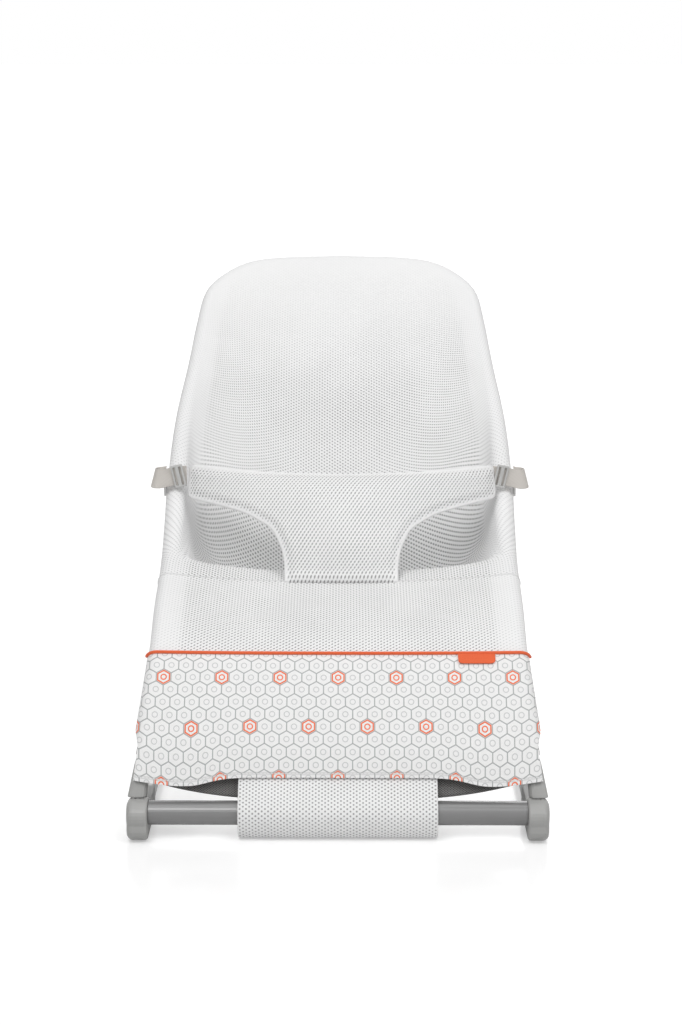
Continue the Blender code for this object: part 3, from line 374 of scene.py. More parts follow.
def stitches(n, uv, line, shade, height):
    """A row of short stitches in a groove, at a distance along the cloth, with painted shade in the groove.
    """
    u, v = n.parts(uv)
    off = n.math("ABSOLUTE", n.math("SUBTRACT", v, line))
    groove = n.ramp(off, 0.0005, 0.0022, 1.0, 0.0)
    run = n.math("FRACT", n.math("DIVIDE", u, STITCH_PITCH))
    stitch = n.math("MULTIPLY", n.ramp(off, 0.0002, 0.0006, 1.0, 0.0), n.math("LESS_THAN", run, 0.72))
    # Painted shade in the groove
    shade = n.mix(n.math("MULTIPLY", groove, 0.45), shade, (0.42, 0.42, 0.42))
    shade = n.mix(n.math("MULTIPLY", stitch, 0.7), shade, WHITE)
    height = n.math("SUBTRACT", height, n.math("MULTIPLY", groove, 0.8))
    return shade, n.math("ADD", height, n.math("MULTIPLY", stitch, 0.6))


def print_cloth(name):
    """White cloth printed with thin grey honeycomb lines and rings, and here and there an orange cell."""
    n = Nodes(name, 0.90, sheen=0.1)
    uv = n.uv()
    tall = math.sqrt(3)
    # From here lengths are in hexagons, measured between flat sides
    p = n.vec("SCALE", uv, scale=1 / HEXAGON)
    halves = [cell_offset(n, p, (1, tall), shift) for shift in (0.0, 0.5)]
    first = n.math("LESS_THAN", n.vec("LENGTH", halves[0]), n.vec("LENGTH", halves[1]))
    near = n.tree.nodes.new("ShaderNodeMix")
    near.data_type = "VECTOR"
    n.put(near.inputs[0], first)
    n.put(near.inputs[4], halves[1])
    n.put(near.inputs[5], halves[0])
    near = near.outputs[1]
    folded = n.vec("ABSOLUTE", near)
    side = n.math("MAXIMUM", n.parts(folded)[0], n.vec("DOT_PRODUCT", folded, (0.5, tall / 2, 0)))
    line = n.ramp(side, 0.452, 0.472)
    ring = n.math("ABSOLUTE", n.math("SUBTRACT", n.vec("LENGTH", near), RING_RADIUS))
    dot = n.ramp(ring, 0.018, 0.045, 1.0, 0.0)
    centre = n.vec("SUBTRACT", p, near)
    groups = [n.vec("LENGTH", cell_offset(n, centre, (ORANGE_EVERY, ORANGE_EVERY * tall), shift))
              for shift in (0.0, 0.5)]
    group = n.math("LESS_THAN", n.math("MINIMUM", *groups), 0.3)
    hexagon = n.ramp(n.math("ABSOLUTE", n.math("SUBTRACT", side, 0.40)), 0.035, 0.060, 1.0, 0.0)
    heart = n.ramp(ring, 0.030, 0.055, 1.0, 0.0)
    ink = n.math("MULTIPLY", n.math("MAXIMUM", hexagon, heart), group)
    thread = n.noise(uv, 1500, 3)
    weave = lattice(n, uv, (0.0020, 0.0016), (0.0004, 0.0004))
    ground = n.mix(n.ramp(thread, 0.3, 0.7), (0.82, 0.815, 0.81), (0.87, 0.87, 0.87))
    inner = n.tree.nodes.new("ShaderNodeAttribute")
    inner.attribute_name = "inner"
    printed = n.math("SUBTRACT", 1.0, inner.outputs["Fac"])
    grey = n.math("MULTIPLY", n.math("MAXIMUM", line, n.math("MULTIPLY", dot, 0.6)), 0.8)
    shade = n.mix(n.math("MULTIPLY", grey, printed), ground, GREY_INK)
    shade = n.mix(n.math("MULTIPLY", ink, printed), shade, ORANGE_INK)
    height = n.math("ADD", n.ramp(weave, 0.5, 1.6), n.math("MULTIPLY", thread, 0.3))
    shade, height = stitches(n, uv, HEM_STITCH, shade, height)
    return n.finish(shade, height, 0.0004, 0.35)


def plastic(name, colour):
    """Moulded plastic with a fine spark texture and slight tone changes."""
    n = Nodes(name, 0.42)
    place = n.place()
    cloud = n.noise(place, 22, 3)
    tone = n.mix(n.ramp(cloud, 0.3, 0.7), tuple(0.95 * c for c in colour), tuple(1.04 * c for c in colour))
    return n.finish(tone, n.noise(place, 900, 2), 0.0002, 0.22)


def paint(name, colour, roughness):
    """Powder coat on tube: faint orange peel."""
    n = Nodes(name, roughness, 0.15)
    place = n.place()
    n.shader.inputs["Coat Weight"].default_value = 0.15
    tone = n.mix(n.ramp(n.noise(place, 12, 2), 0.3, 0.7), tuple(0.96 * c for c in colour), colour)
    return n.finish(tone, n.noise(place, 520, 2), 0.0002, 0.14)


def steel(name):
    """Zinc-plated steel with fine marks along x."""
    n = Nodes(name, 0.32, 1.0)
    stretched = n.vec("MULTIPLY", n.place(), (1, 30, 30))
    tone = n.mix(n.noise(stretched, 60, 2), (0.48, 0.48, 0.50), (0.64, 0.64, 0.66))
    return n.finish(tone, n.noise(stretched, 90, 2), 0.0002, 0.1)


def rubber(name):
    """Dull black rubber."""
    n = Nodes(name, 0.78)
    place = n.place()
    tone = n.mix(n.noise(place, 40, 3), (0.055, 0.055, 0.055), (0.085, 0.085, 0.085))
    return n.finish(tone, n.noise(place, 700, 3), 0.0003, 0.4)


def woven(name, light, dark, pitch=(0.0016, 0.0010)):
    """Ribbed tape or covered cord: rows of small raised threads, with painted shade in the dips between them.
    """
    n = Nodes(name, 0.75, sheen=0.15)
    uv = n.uv()
    away = lattice(n, uv, pitch, (pitch[0] * 0.26, pitch[1] * 0.26))
    dip = n.ramp(away, 0.5, 1.5, 1.0, 0.0)
    fuzz = n.noise(uv, 900, 3)
    tone = n.mix(fuzz, tuple(0.93 * c for c in light), light)
    # The dips between threads take the dark colour as painted shade
    return n.finish(n.mix(dip, tone, dark), n.math("SUBTRACT", fuzz, dip), 0.0004, 0.5)


# Camera, floor and light
def set_camera():
    """The photograph's view: from 1.7 m in front of the feet, looking down 15 degrees."""
    camera = bpy.data.objects.new("camera", bpy.data.cameras.new("camera"))
    bpy.context.scene.collection.objects.link(camera)
    camera.data.sensor_fit = "VERTICAL"
    camera.data.sensor_height = 36
    camera.data.lens = CAMERA_LENS
    camera.location = (CAMERA_PLACE[0], CAMERA_PLACE[1] - CENTRE_Y, CAMERA_PLACE[2])
    camera.rotation_euler = (math.radians(CAMERA_TILT), 0, math.radians(CAMERA_TURN))
    bpy.context.scene.camera = camera


def set_floor():
    """Pale floor. The camera sees it lifted to white away from the object, and it keeps its shadow."""
    bm = bmesh.new()
    bmesh.ops.create_grid(bm, x_segments=1, y_segments=1, size=FLOOR_HALF)
    mesh = bpy.data.meshes.new("floor")
    bm.to_mesh(mesh)
    bm.free()
    floor = bpy.data.objects.new("floor", mesh)
    bpy.context.scene.collection.objects.link(floor)
    n = Nodes("floor_gloss", 0.16)
    n.shader.inputs["Specular IOR Level"].default_value = 0.30
    camera_ray = n.tree.nodes.new("ShaderNodeLightPath").outputs["Is Camera Ray"]
    place = n.place()
    lift = n.math("MAXIMUM", n.ramp(n.parts(place)[1], *FLOOR_LIFT),
                  n.ramp(n.vec("LENGTH", place), *FLOOR_FAR_LIFT))
    glow = n.tree.nodes.new("ShaderNodeEmission")
    n.put(glow.inputs["Strength"], n.math("MULTIPLY", camera_ray, lift))
    both = n.tree.nodes.new("ShaderNodeAddShader")
    n.put(both.inputs[0], n.shader.outputs[0])
    n.put(both.inputs[1], glow.outputs[0])
    n.put(n.tree.nodes["Material Output"].inputs["Surface"], both.outputs[0])
    mesh.materials.append(n.finish(n.ramp(camera_ray, 0.0, 1.0, FLOOR_LIT, FLOOR_SEEN)))


def set_world():
    """Soft even light, which the camera, gloss and glass see as plain white."""
    world = bpy.data.worlds.new("studio")
    bpy.context.scene.world = world
    world.use_nodes = True
    tree = world.node_tree
    tree.nodes.clear()
    out = tree.nodes.new("ShaderNodeOutputWorld")
    mix = tree.nodes.new("ShaderNodeMixShader")
    for slot, strength in ((1, WORLD_STRENGTH), (2, 1.0)):
        light = tree.nodes.new("ShaderNodeBackground")
        light.inputs["Color"].default_value = (1, 1, 1, 1)
        light.inputs["Strength"].default_value = strength
        tree.links.new(light.outputs[0], mix.inputs[slot])
    path = tree.nodes.new("ShaderNodeLightPath")
    seen = path.outputs["Is Camera Ray"]
    for kind in ("Is Glossy Ray", "Is Transmission Ray"):
        most = tree.nodes.new("ShaderNodeMath")
        most.operation = "MAXIMUM"
        tree.links.new(seen, most.inputs[0])
        tree.links.new(path.outputs[kind], most.inputs[1])
        seen = most.outputs[0]
    tree.links.new(seen, mix.inputs[0])
    tree.links.new(mix.outputs[0], out.inputs["Surface"])


def set_lamps():
    """Square soft lamps that all point at the seat."""
    for name, place, size, power in LAMPS:
        light = bpy.data.lights.new(name, "AREA")
        light.size = size
        light.energy = power
        lamp = bpy.data.objects.new(name, light)
        lamp.location = place
        lamp.rotation_euler = (Vector(LAMP_AIM) - Vector(place)).to_track_quat("-Z", "Y").to_euler()
        bpy.context.scene.collection.objects.link(lamp)


# Geometry tools
def ease(x):
    """Smooth step from 0 at 0 to 1 at 1."""
    x = min(1.0, max(0.0, x))
    return x * x * (3 - 2 * x)


def edge_distance(p, a, b):
    """Distance of a point from the stretch between a and b."""
    run = b - a
    t = min(1, max(0, (p - a).dot(run) / run.length_squared)) if run.length_squared else 0
    return (p - a - run * t).length


def smooth_path(points, steps):
    """Points on a Catmull-Rom curve through the given points, steps to each span."""
    points = [Vector(p) for p in points]
    ends = [2 * points[0] - points[1]] + points + [2 * points[-1] - points[-2]]
    found = []
    for i in range(1, len(ends) - 2):
        a, b, c, d = ends[i - 1], ends[i], ends[i + 1], ends[i + 2]
        for k in range(steps):
            t = k / steps
            found.append(0.5 * (2 * b + (c - a) * t + (2 * a - 5 * b + 4 * c - d) * t * t
                                + (3 * b - a - 3 * c + d) * t ** 3))
    found.append(points[-1])
    return found


PATHS = {}


def side_path(steps):
    """Centre line of the right-hand seat tube from its arm to the middle of the head."""
    if steps not in PATHS:
        lean = math.radians(90 - ARM_LEAN)
        axis = Vector((0, math.cos(lean), math.sin(lean)))
        hinge = Vector((0, *HINGE))
        start, knee = hinge + axis * TUBE_START, hinge + axis * (ARM_LENGTH + KNEE_RISE)
        start.x, knee.x = ARM_X, KNEE_X
        PATHS[steps] = smooth_path([start, knee] + [Vector(p) for p in SEAT_PATH], steps)
    return PATHS[steps]


def tube_at(y):
    """Point of the right-hand tube centre line at a given y, with its outward and upward directions."""
    path = side_path(8)
    k = 1
    while path[k].y < y:
        k += 1
    a, b = path[k - 1], path[k]
    along = (b - a).normalized()
    share = (y - a.y) / (b.y - a.y)
    before = (a - path[max(k - 2, 0)]).normalized() if k > 1 else along
    after = (path[min(k + 1, len(path) - 1)] - b).normalized()
    along = ((before + along) * (1 - share) + (along + after) * share).normalized()
    up = Vector((0, -along.z, along.y)).normalized()
    return a.lerp(b, share), along.cross(up).normalized(), up


def wrap(station, radius, target, first=WRAP_START):
    """Cloth round a tube, from an angle on its outer side to where it leaves towards the target."""
    centre, out, up = station
    a, b = (target - centre).dot(out), (target - centre).dot(up)
    end = math.atan2(b, a) % math.tau - math.acos(min(1, radius / math.hypot(a, b)))
    start = math.radians(first)
    found = []
    for i in range(WRAP_STEPS + 1):
        angle = start + (end - start) * i / WRAP_STEPS
        found.append(centre + (out * math.cos(angle) + up * math.sin(angle)) * radius)
    return found


def mirrored(points):
    """The points on the other side of the middle."""
    return [Vector((-p.x, p.y, p.z)) for p in points]


def cloth_row(y, middle, radius, across, power=SLING_POWER, first=WRAP_START):
    """One row of cloth from side to side: round the right tube, over the span, round the left tube."""
    station = tube_at(y)
    centre, _, up = station
    edge = centre + up * radius
    span = []
    for j in range(across):
        u = SPAN_EDGE * (1 - 2 * j / (across - 1))
        share = 1 - abs(u) ** power
        span.append(Vector((u * centre.x, edge.y + (middle[0] - edge.y) * share,
                            edge.z + (middle[1] - edge.z) * share)))
    side = wrap(station, radius, span[0], first=first)
    return side + span + mirrored(reversed(side)), len(side)


def sagged(y, radius, sag):
    """The y and z of a row's middle, a sag below the tube's upper side."""
    centre, _, up = tube_at(y)
    place = centre + up * (radius - sag)
    return place.y, place.z


def measured(rows):
    """Lengths along each row from its middle, and of the rows along the cloth, in metres."""
    across = []
    for row in rows:
        run = [0.0]
        for a, b in zip(row, row[1:]):
            run.append(run[-1] + (b - a).length)
        across.append([r - run[-1] / 2 for r in run])
    along = [0.0]
    for above, below in zip(rows, rows[1:]):
        k = len(above) // 2
        along.append(along[-1] + (below[k] - above[k]).length)
    return across, along


def add_piece(name, verts, faces, uvs, body, mat, tight=None):
    """A mesh from points before centring, with cloth coordinates. It rides on the body, if one is given."""
    mesh = bpy.data.meshes.new(name)
    mesh.from_pydata([(v[0], v[1] - CENTRE_Y, v[2]) for v in verts], [], faces)
    layer = mesh.uv_layers.new(name="cloth")
    for loop in mesh.loops:
        layer.data[loop.index].uv = uvs[loop.vertex_index]
    if tight:
        mesh.attributes.new("tight", "FLOAT", "POINT").data.foreach_set("value", tight)
    bm = bmesh.new()
    bm.from_mesh(mesh)
    bmesh.ops.recalc_face_normals(bm, faces=bm.faces)
    bm.to_mesh(mesh)
    bm.free()
    mesh.materials.append(mat)
    mesh.shade_smooth()
    obj = bpy.data.objects.new(name, mesh)
    bpy.context.scene.collection.objects.link(obj)
    if body:
        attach(obj, body)
    return obj


def thicken(obj, thickness, rounded=True):
    """Gives a sheet its thickness, with a rounded rim, and keeps the result as its mesh."""
    thick = obj.modifiers.new("cloth", "SOLIDIFY")
    thick.thickness = thickness
    thick.offset = 0
    thick.use_even_offset = True
    if rounded:
        edge = obj.modifiers.new("rim", "BEVEL")
        edge.width = thickness * RIM_SHARE
        edge.segments = 3
        edge.limit_method = "ANGLE"
        edge.angle_limit = math.radians(RIM_ANGLE)
    graph = bpy.context.evaluated_depsgraph_get()
    mesh = bpy.data.meshes.new_from_object(obj.evaluated_get(graph))
    obj.modifiers.clear()
    obj.data = mesh
    mesh.shade_smooth()


def row_tightness(count, lip):
    """Per point of a row: 1 where its cloth lies stretched on the tube, easing to 0 over the span."""
    return [1 - ease((min(j, count - 1 - j) - lip + 1) / TIGHT_POINTS) for j in range(count)]


def grid_faces(count, wide, first=0):
    """Faces between neighbouring rows of a grid of points that starts at an index."""
    return [(first + i * wide + j, first + i * wide + j + 1, first + (i + 1) * wide + j + 1,
             first + (i + 1) * wide + j) for i in range(count - 1) for j in range(wide - 1)]


def grid_piece(name, rows, body, mat, tight=None):
    """A sheet through rows of points, with cloth coordinates across and along it."""
    across, along = measured(rows)
    verts = [p for row in rows for p in row]
    uvs = [(across[i][j], along[i]) for i in range(len(rows)) for j in range(len(rows[0]))]
    return add_piece(name, verts, grid_faces(len(rows), len(rows[0])), uvs, body, mat, tight)


def mark_inner(obj):
    """Marks the points on the rear side of a printed cloth, which is plain."""
    mesh = obj.data
    behind = [1.0 if v.normal.y > 0 else 0.0 for v in mesh.vertices]
    mesh.attributes.new("inner", "FLOAT", "POINT").data.foreach_set("value", behind)


# Fabric pieces
def sling_power(y):
    """How squarely a row of the sling hangs between the tubes: more so in the pocket of the seat."""
    rise = ease((y - POCKET_Y[0]) / (POCKET_Y[1] - POCKET_Y[0]))
    fall = ease((y - POCKET_Y[2]) / (POCKET_Y[3] - POCKET_Y[2]))
    return SLING_POWER + (POCKET_POWER - SLING_POWER) * rise * (1 - fall)


def sling_rows():
    """Rows of the sling from the crotch seam to below the head, and the number of points round a tube."""
    rows = []
    for y, middle_y, middle_z in smooth_path(SLING, 5):
        row, lip = cloth_row(y, (middle_y, middle_z), SLING_RADIUS, 61, sling_power(y))
        rows.append(row)
    tuck = tube_at(SEAM_Y)[2] * SEAM_TUCK
    rows.insert(0, [p - Vector((0, SEAM_LAP, 0)) - tuck for p in rows[0]])
    rows[1] = [p - tuck for p in rows[1]]
    return rows, lip


def head_path():
    """Smoothed centre line of the tube, from the sling's last row to the middle of the head."""
    path = [p for p in side_path(24) if p.y > SLING[-1][0] + JOIN_GAP]
    for spread in (6, 5, 4):
        smoothed = []
        for k in range(len(path)):
            reach = min(spread, k, len(path) - 1 - k)
            smoothed.append(sum(path[k - reach:k + reach + 1], Vector()) / (2 * reach + 1))
        path = smoothed
    return path


def head_columns(verts, span, path):
    """Where strips go round the head: x, the two points of the last row beside it, the share between them."""
    columns = [(p.x, span[0], span[0], 0.0) for p in path[2::3] if p.x > verts[span[0]].x + HEAD_COLUMN_GAP]
    half = span[:len(span) // 2 + 1]
    for a, b in zip(half, half[1:]):
        high, low = verts[a].x, verts[b].x
        columns.append((high, a, b, 0.0))
        columns += [(p.x, a, b, (high - p.x) / (high - low)) for p in path[::3]
                    if low + HEAD_COLUMN_GAP < p.x < high - HEAD_COLUMN_GAP]
    columns.append((verts[half[-1]].x, half[-1], half[-1], 0.0))
    return columns


def head_strip(column, path, up, verts, uvs, edge):
    """Points of one strip round the head tube, each with its cloth coordinates."""
    x, near, beyond, share = column
    k = next((k for k in range(1, len(path)) if path[k].x <= x + 1e-9), len(path) - 1)
    before, after = path[k - 1], path[k]
    place = before.lerp(after, min(1.0, max(0.0, (x - before.x) / (after.x - before.x))))
    ahead = Vector((-1, 0, 0)) if x < 1e-6 else (after - before).normalized()
    out = ahead.cross(up).normalized()
    foot = verts[near].lerp(verts[beyond], share)
    across = uvs[near][0] * (1 - share) + uvs[beyond][0] * share + max(0.0, x - edge)
    climb = uvs[near][1] + (place + up * SLING_RADIUS - Vector((place.x, foot.y, foot.z))).length
    strip = []
    for p in wrap((place, out, up), SLING_RADIUS, foot):
        turn = math.atan2((p - place).dot(up), (p - place).dot(out))
        arc = SLING_RADIUS * (math.pi / 2 - turn)
        strip.append((p, (across + out.x * arc, climb + math.hypot(out.y, out.z) * arc)))
    return strip


def seat_cover(mat):
    """White mesh sling from the crotch seam over the seat and the back, round the head tube."""
    rows, lip = sling_rows()
    across, along = measured(rows)
    wide = len(rows[0])
    verts = [p for row in rows for p in row]
    uvs = [(across[i][j], along[i]) for i in range(len(rows)) for j in range(wide)]
    faces = grid_faces(len(rows), wide)
    tight = row_tightness(wide, lip) * len(rows)

    # Strips go round the head tube, and their ends join the points of the last row
    last = list(range(len(verts) - wide, len(verts)))
    span = last[lip:-lip]
    path = head_path()
    up = tube_at(SLING[-1][0] - 0.001)[2]
    edge = verts[span[0]].x
    strips = [(head_strip(column, path, up, verts, uvs, edge), column[1])
              for column in head_columns(verts, span, path)]

    def added(strip, near, sign=1):
        first = len(verts)
        verts.extend(Vector((sign * p.x, p.y, p.z)) for p, uv in strip)
        uvs.extend((sign * uv[0], uv[1]) for p, uv in strip)
        return list(range(first, len(verts))), near

    right = [added(strip, near) for strip, near in strips[:-1]]
    left = [added(strip, span[-1 - span.index(near)], -1) for strip, near in strips[:-1]]
    joined = [(last[:lip], span[0])] + right + [added(*strips[-1])] + left[::-1]
    joined.append((last[-lip:][::-1], span[-1]))
    for (a, near_a), (b, near_b) in zip(joined, joined[1:]):
        faces += [(a[i], a[i + 1], b[i + 1], b[i]) for i in range(lip - 1)]
        faces.append((a[-1], near_a, b[-1]) if near_a == near_b else (a[-1], near_a, near_b, b[-1]))
    tight += [1.0] * (len(verts) - len(tight))
    obj = add_piece("cover", verts, faces, uvs, "seat", mat, tight)
    thicken(obj, CLOTH)
    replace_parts(obj, "seat_cover")


def leg_panel(mat):
    """White mesh under the thighs, from the piping to the crotch seam, where it laps over the sling."""
    rows = []
    start, steps = PIPING_Y + JOIN_GAP, 40
    for i in range(steps, -1, -1):
        share = i / steps
        y = start + (SEAM_Y + LEG_LAP - start) * share
        proud = LEG_PROUD[0] * (1 - ease((y - start) / 0.008))
        proud += LEG_PROUD[1] * ease((y - SEAM_Y + 0.006) / 0.005)
        middle = sagged(y, SLING_RADIUS + proud, LEG_SAG + (SEAM_SAG - LEG_SAG) * share ** 1.5)
        row, lip = cloth_row(y, middle, SLING_RADIUS + proud, 61)
        rows.append(row)
    tight = row_tightness(len(rows[0]), lip) * len(rows)
    obj = grid_piece("leg_cloth", rows, "seat", mat, tight=tight)
    thicken(obj, CLOTH)
    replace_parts(obj, "leg_panel")


def print_wrap_start(y):
    """Where the print's side edge lies round the tube: on its front at the hem, under it above the knee."""
    share = ease((y - HEM_WRAP_Y[0]) / (HEM_WRAP_Y[1] - HEM_WRAP_Y[0]))
    return HEM_WRAP_START + (WRAP_START - HEM_WRAP_START) * share


def hem_wave(share):
    """How far the hem of the print hangs below its middle, by share of the half width."""
    share = abs(share)
    past = share - HEM_WAVE_AT
    return HEM_WAVE * math.exp(-(past / 0.14) ** 2) + HEM_CORNER * ease(past / 0.15)


def print_panel(mat):
    """Printed apron over the front of the seat, from the piping to its hem above the cross tube."""
    radius = TUBE_RADIUS + PRINT_GAP + PRINT_CLOTH / 2
    rows = []
    steps = 36
    for i in range(steps + 1):
        y = HEM_Y + (PIPING_Y - JOIN_GAP - HEM_Y) * i / steps
        row = cloth_row(y, sagged(y, radius, PRINT_SAG), radius, 81, first=print_wrap_start(y))[0]
        centre, _, up = tube_at(y)
        down = Vector((0, -up.z, up.y))
        fall = (1 - i / steps) ** 3
        rows.append([p + down * hem_wave(p.x / HEM_HALF_WIDTH) * fall * ease((p.z - centre.z) / 0.006 + 0.3)
                     for p in row])
    obj = grid_piece("print_cloth", rows, "seat", mat)
    thicken(obj, PRINT_CLOTH)
    mark_inner(obj)
    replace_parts(obj, "print_panel")


def cord_along(name, path, radius, mat):
    """Round cord along a path, with rounded ends."""
    verts, uvs, faces, run = [], [], [], 0.0
    sides, end = CORD_SIDES, radius * CORD_END_LENGTH
    path = [path[0] - (path[1] - path[0]).normalized() * end] + path
    path.append(path[-1] + (path[-1] - path[-2]).normalized() * end)
    side = Vector((0, 0, 1))
    for i, place in enumerate(path):
        ahead = (path[min(i + 1, len(path) - 1)] - path[max(i - 1, 0)]).normalized()
        side = (side - ahead * side.dot(ahead)).normalized()
        other = ahead.cross(side)
        run += (place - path[i - 1]).length if i else 0
        r = radius * (CORD_END_RADIUS if i in (0, len(path) - 1) else 1)
        for k in range(sides):
            turn = math.tau * k / sides
            verts.append(place + (side * math.cos(turn) + other * math.sin(turn)) * r)
            uvs.append((run, radius * turn))
        if i:
            base = i * sides
            faces += [(base + k, base + (k + 1) % sides, base - sides + (k + 1) % sides, base - sides + k)
                      for k in range(sides)]
    faces += [tuple(range(sides)), tuple(len(verts) - 1 - k for k in range(sides))]
    return add_piece(name, verts, faces, uvs, "seat", mat)


def piping(mat):
    """Round orange cord over the join of the print and the leg panel."""
    radius = PRINT_FACE + PIPING_PROUD
    row = cloth_row(PIPING_Y, sagged(PIPING_Y, radius, PRINT_SAG), radius, 61, first=PIPING_WRAP_START)[0]
    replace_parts(cord_along("piping_cord", row, PIPING_RADIUS, mat), "piping")


def print_line(run, depth):
    """Point of the print's middle line, a run up from the hem and a depth behind its front face."""
    foot, _, up = tube_at(HEM_Y)
    rise = Vector((0, up.z, -up.y))
    if run <= 0:
        return foot + rise * run + up * (PRINT_FACE - depth - PRINT_SAG)
    centre, _, up = tube_at(HEM_Y + rise.y * run)
    return centre + up * (PRINT_FACE - depth - PRINT_SAG)


def lining_net(mat):
    """Dark net behind the print, hanging a little below its hem."""
    rows = []
    for i in range(25):
        row = []
        for j in range(97):
            x = (NET_HALF_WIDTH + NET_HEM) * (1 - j / 48)
            shown = ease((abs(x) - NET_SHOWN_X[0]) / NET_SHOWN_X[1])
            low = -NET_DROOP * (1 - shown) - NET_SHOWN * (1 - abs(x / NET_CURVE_X) ** 3) * shown
            run = low + (NET_TOP - low) * i / 24
            closed = min(1, max(0, (run - NET_CLOSES[0]) / NET_CLOSES[1]))
            depth = PRINT_CLOTH + NET_BEHIND - (NET_BEHIND - NET_SEAT) * closed
            place = print_line(run, depth)
            row.append(Vector((x, place.y, place.z)))
        rows.append(row)
    obj = grid_piece("net", rows, "seat", mat)
    thicken(obj, NET_CLOTH, False)
    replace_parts(obj, "lining_net")


def wrap_flap(mat):
    """Padded tongue that comes out under the hem and wraps the cross tube."""
    radius = CROSS_RADIUS + FLAP_GAP + FLAP_CLOTH / 2
    depth = PRINT_CLOTH + FLAP_BEHIND + FLAP_CLOTH / 2
    top, low = print_line(FLAP_TOP, depth), print_line(FLAP_LEAVES, depth)
    a, b = low.y - HINGE[0], low.z - HINGE[1]
    start = math.degrees(math.atan2(b, a) + math.acos(radius / math.hypot(a, b)))
    line = [top.lerp(low, k / 8) for k in range(8)] + [low]
    turn = math.radians(start)
    first = Vector((0, HINGE[0] + radius * math.cos(turn), HINGE[1] + radius * math.sin(turn)))
    line += [low.lerp(first, k / 4) for k in range(1, 4)]
    for k in range(57):
        turn = math.radians(start + (FLAP_END - start) * k / 56)
        rise = radius * math.sin(turn)
        line.append(Vector((0, HINGE[0] + radius * math.cos(turn),
                            HINGE[1] + rise * (FLAP_HANG if rise < 0 else 1))))
    rows = [[Vector((FLAP_HALF_WIDTH * (1 - j / 20), p.y, p.z)) for j in range(41)] for p in line]
    obj = grid_piece("flap", rows, "seat", mat)
    thicken(obj, FLAP_CLOTH)
    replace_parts(obj, "wrap_flap")


def cover_tag(mat):
    """Plain cloth tag that hangs from the piping on the right, with rounded lower corners."""
    radius = PRINT_FACE + TAG_PROUD
    rows = []
    for i in range(13):
        y = PIPING_Y - TAG_BELOW - TAG_LENGTH_IN_Y * i / 12
        place = Vector((0, *sagged(y, radius, 0.0)))
        low = max(0.0, i / 12 * TAG_HEIGHT - (TAG_HEIGHT - TAG_CORNER)) / TAG_CORNER
        inset = TAG_CORNER * (1 - math.sqrt(max(0.0, 1 - low * low)))
        half = TAG_WIDTH / 2 - inset
        rows.append([Vector((TAG_X + half * (1 - k / 10), place.y, place.z)) for k in range(21)])
    obj = grid_piece("tag", rows, "seat", mat)
    thicken(obj, TAG_CLOTH)
    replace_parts(obj, "cover_tag")


# Waist belt
def belt_point(x, drop):
    """Point of the belt's middle surface at x, a drop below its top edge."""
    line = smooth_path([(0, y, z) for y, z in BELT_DROP], 6)
    lengths = [0.0]
    for a, b in zip(line, line[1:]):
        lengths.append(lengths[-1] + (b - a).length)
    share = min(1, drop / BELT_LENGTH)
    goal = share * lengths[-1]
    k = 1
    while k < len(line) - 1 and lengths[k] < goal:
        k += 1
    middle = line[k - 1].lerp(line[k], (goal - lengths[k - 1]) / (lengths[k] - lengths[k - 1]))
    upper = 1 - share ** 1.5
    bend = upper * (x / BELT_END_X) ** 2
    side = upper * abs(x / BELT_END_X) ** 1.5
    top = line[0] + Vector((0, BELT_END_BACK * bend, -BELT_END_DROP * bend))
    down = (middle - line[0]) * (1 - side) + Vector((0, 0, -drop)) * side
    sewn = ease((drop - BELT_LENGTH + BELT_SEWN) / BELT_SEWN)
    place = top + down
    return Vector((x + BELT_SHIFT, place.y - BELT_SEWN_SHIFT[0] * sewn, place.z - BELT_SEWN_SHIFT[1] * sewn))


def belt_half(inset):
    """Half the thickness of the belt at a distance in from its edge: rounded rim, stitched dip, padding."""
    if inset < BELT_ROUNDING:
        return BELT_RIM_HALF + (BELT_BOUND_HALF - BELT_RIM_HALF) * math.sqrt(inset / BELT_ROUNDING)
    dip = BELT_STITCH_DIP * math.exp(-((inset - BELT_STITCH_INSET) / 0.0010) ** 2)
    padding = (BELT_HALF_THICKNESS - BELT_BOUND_HALF) * ease((inset - BELT_ROUNDING) / BELT_PADDING_RUN)
    return BELT_BOUND_HALF + padding - dip


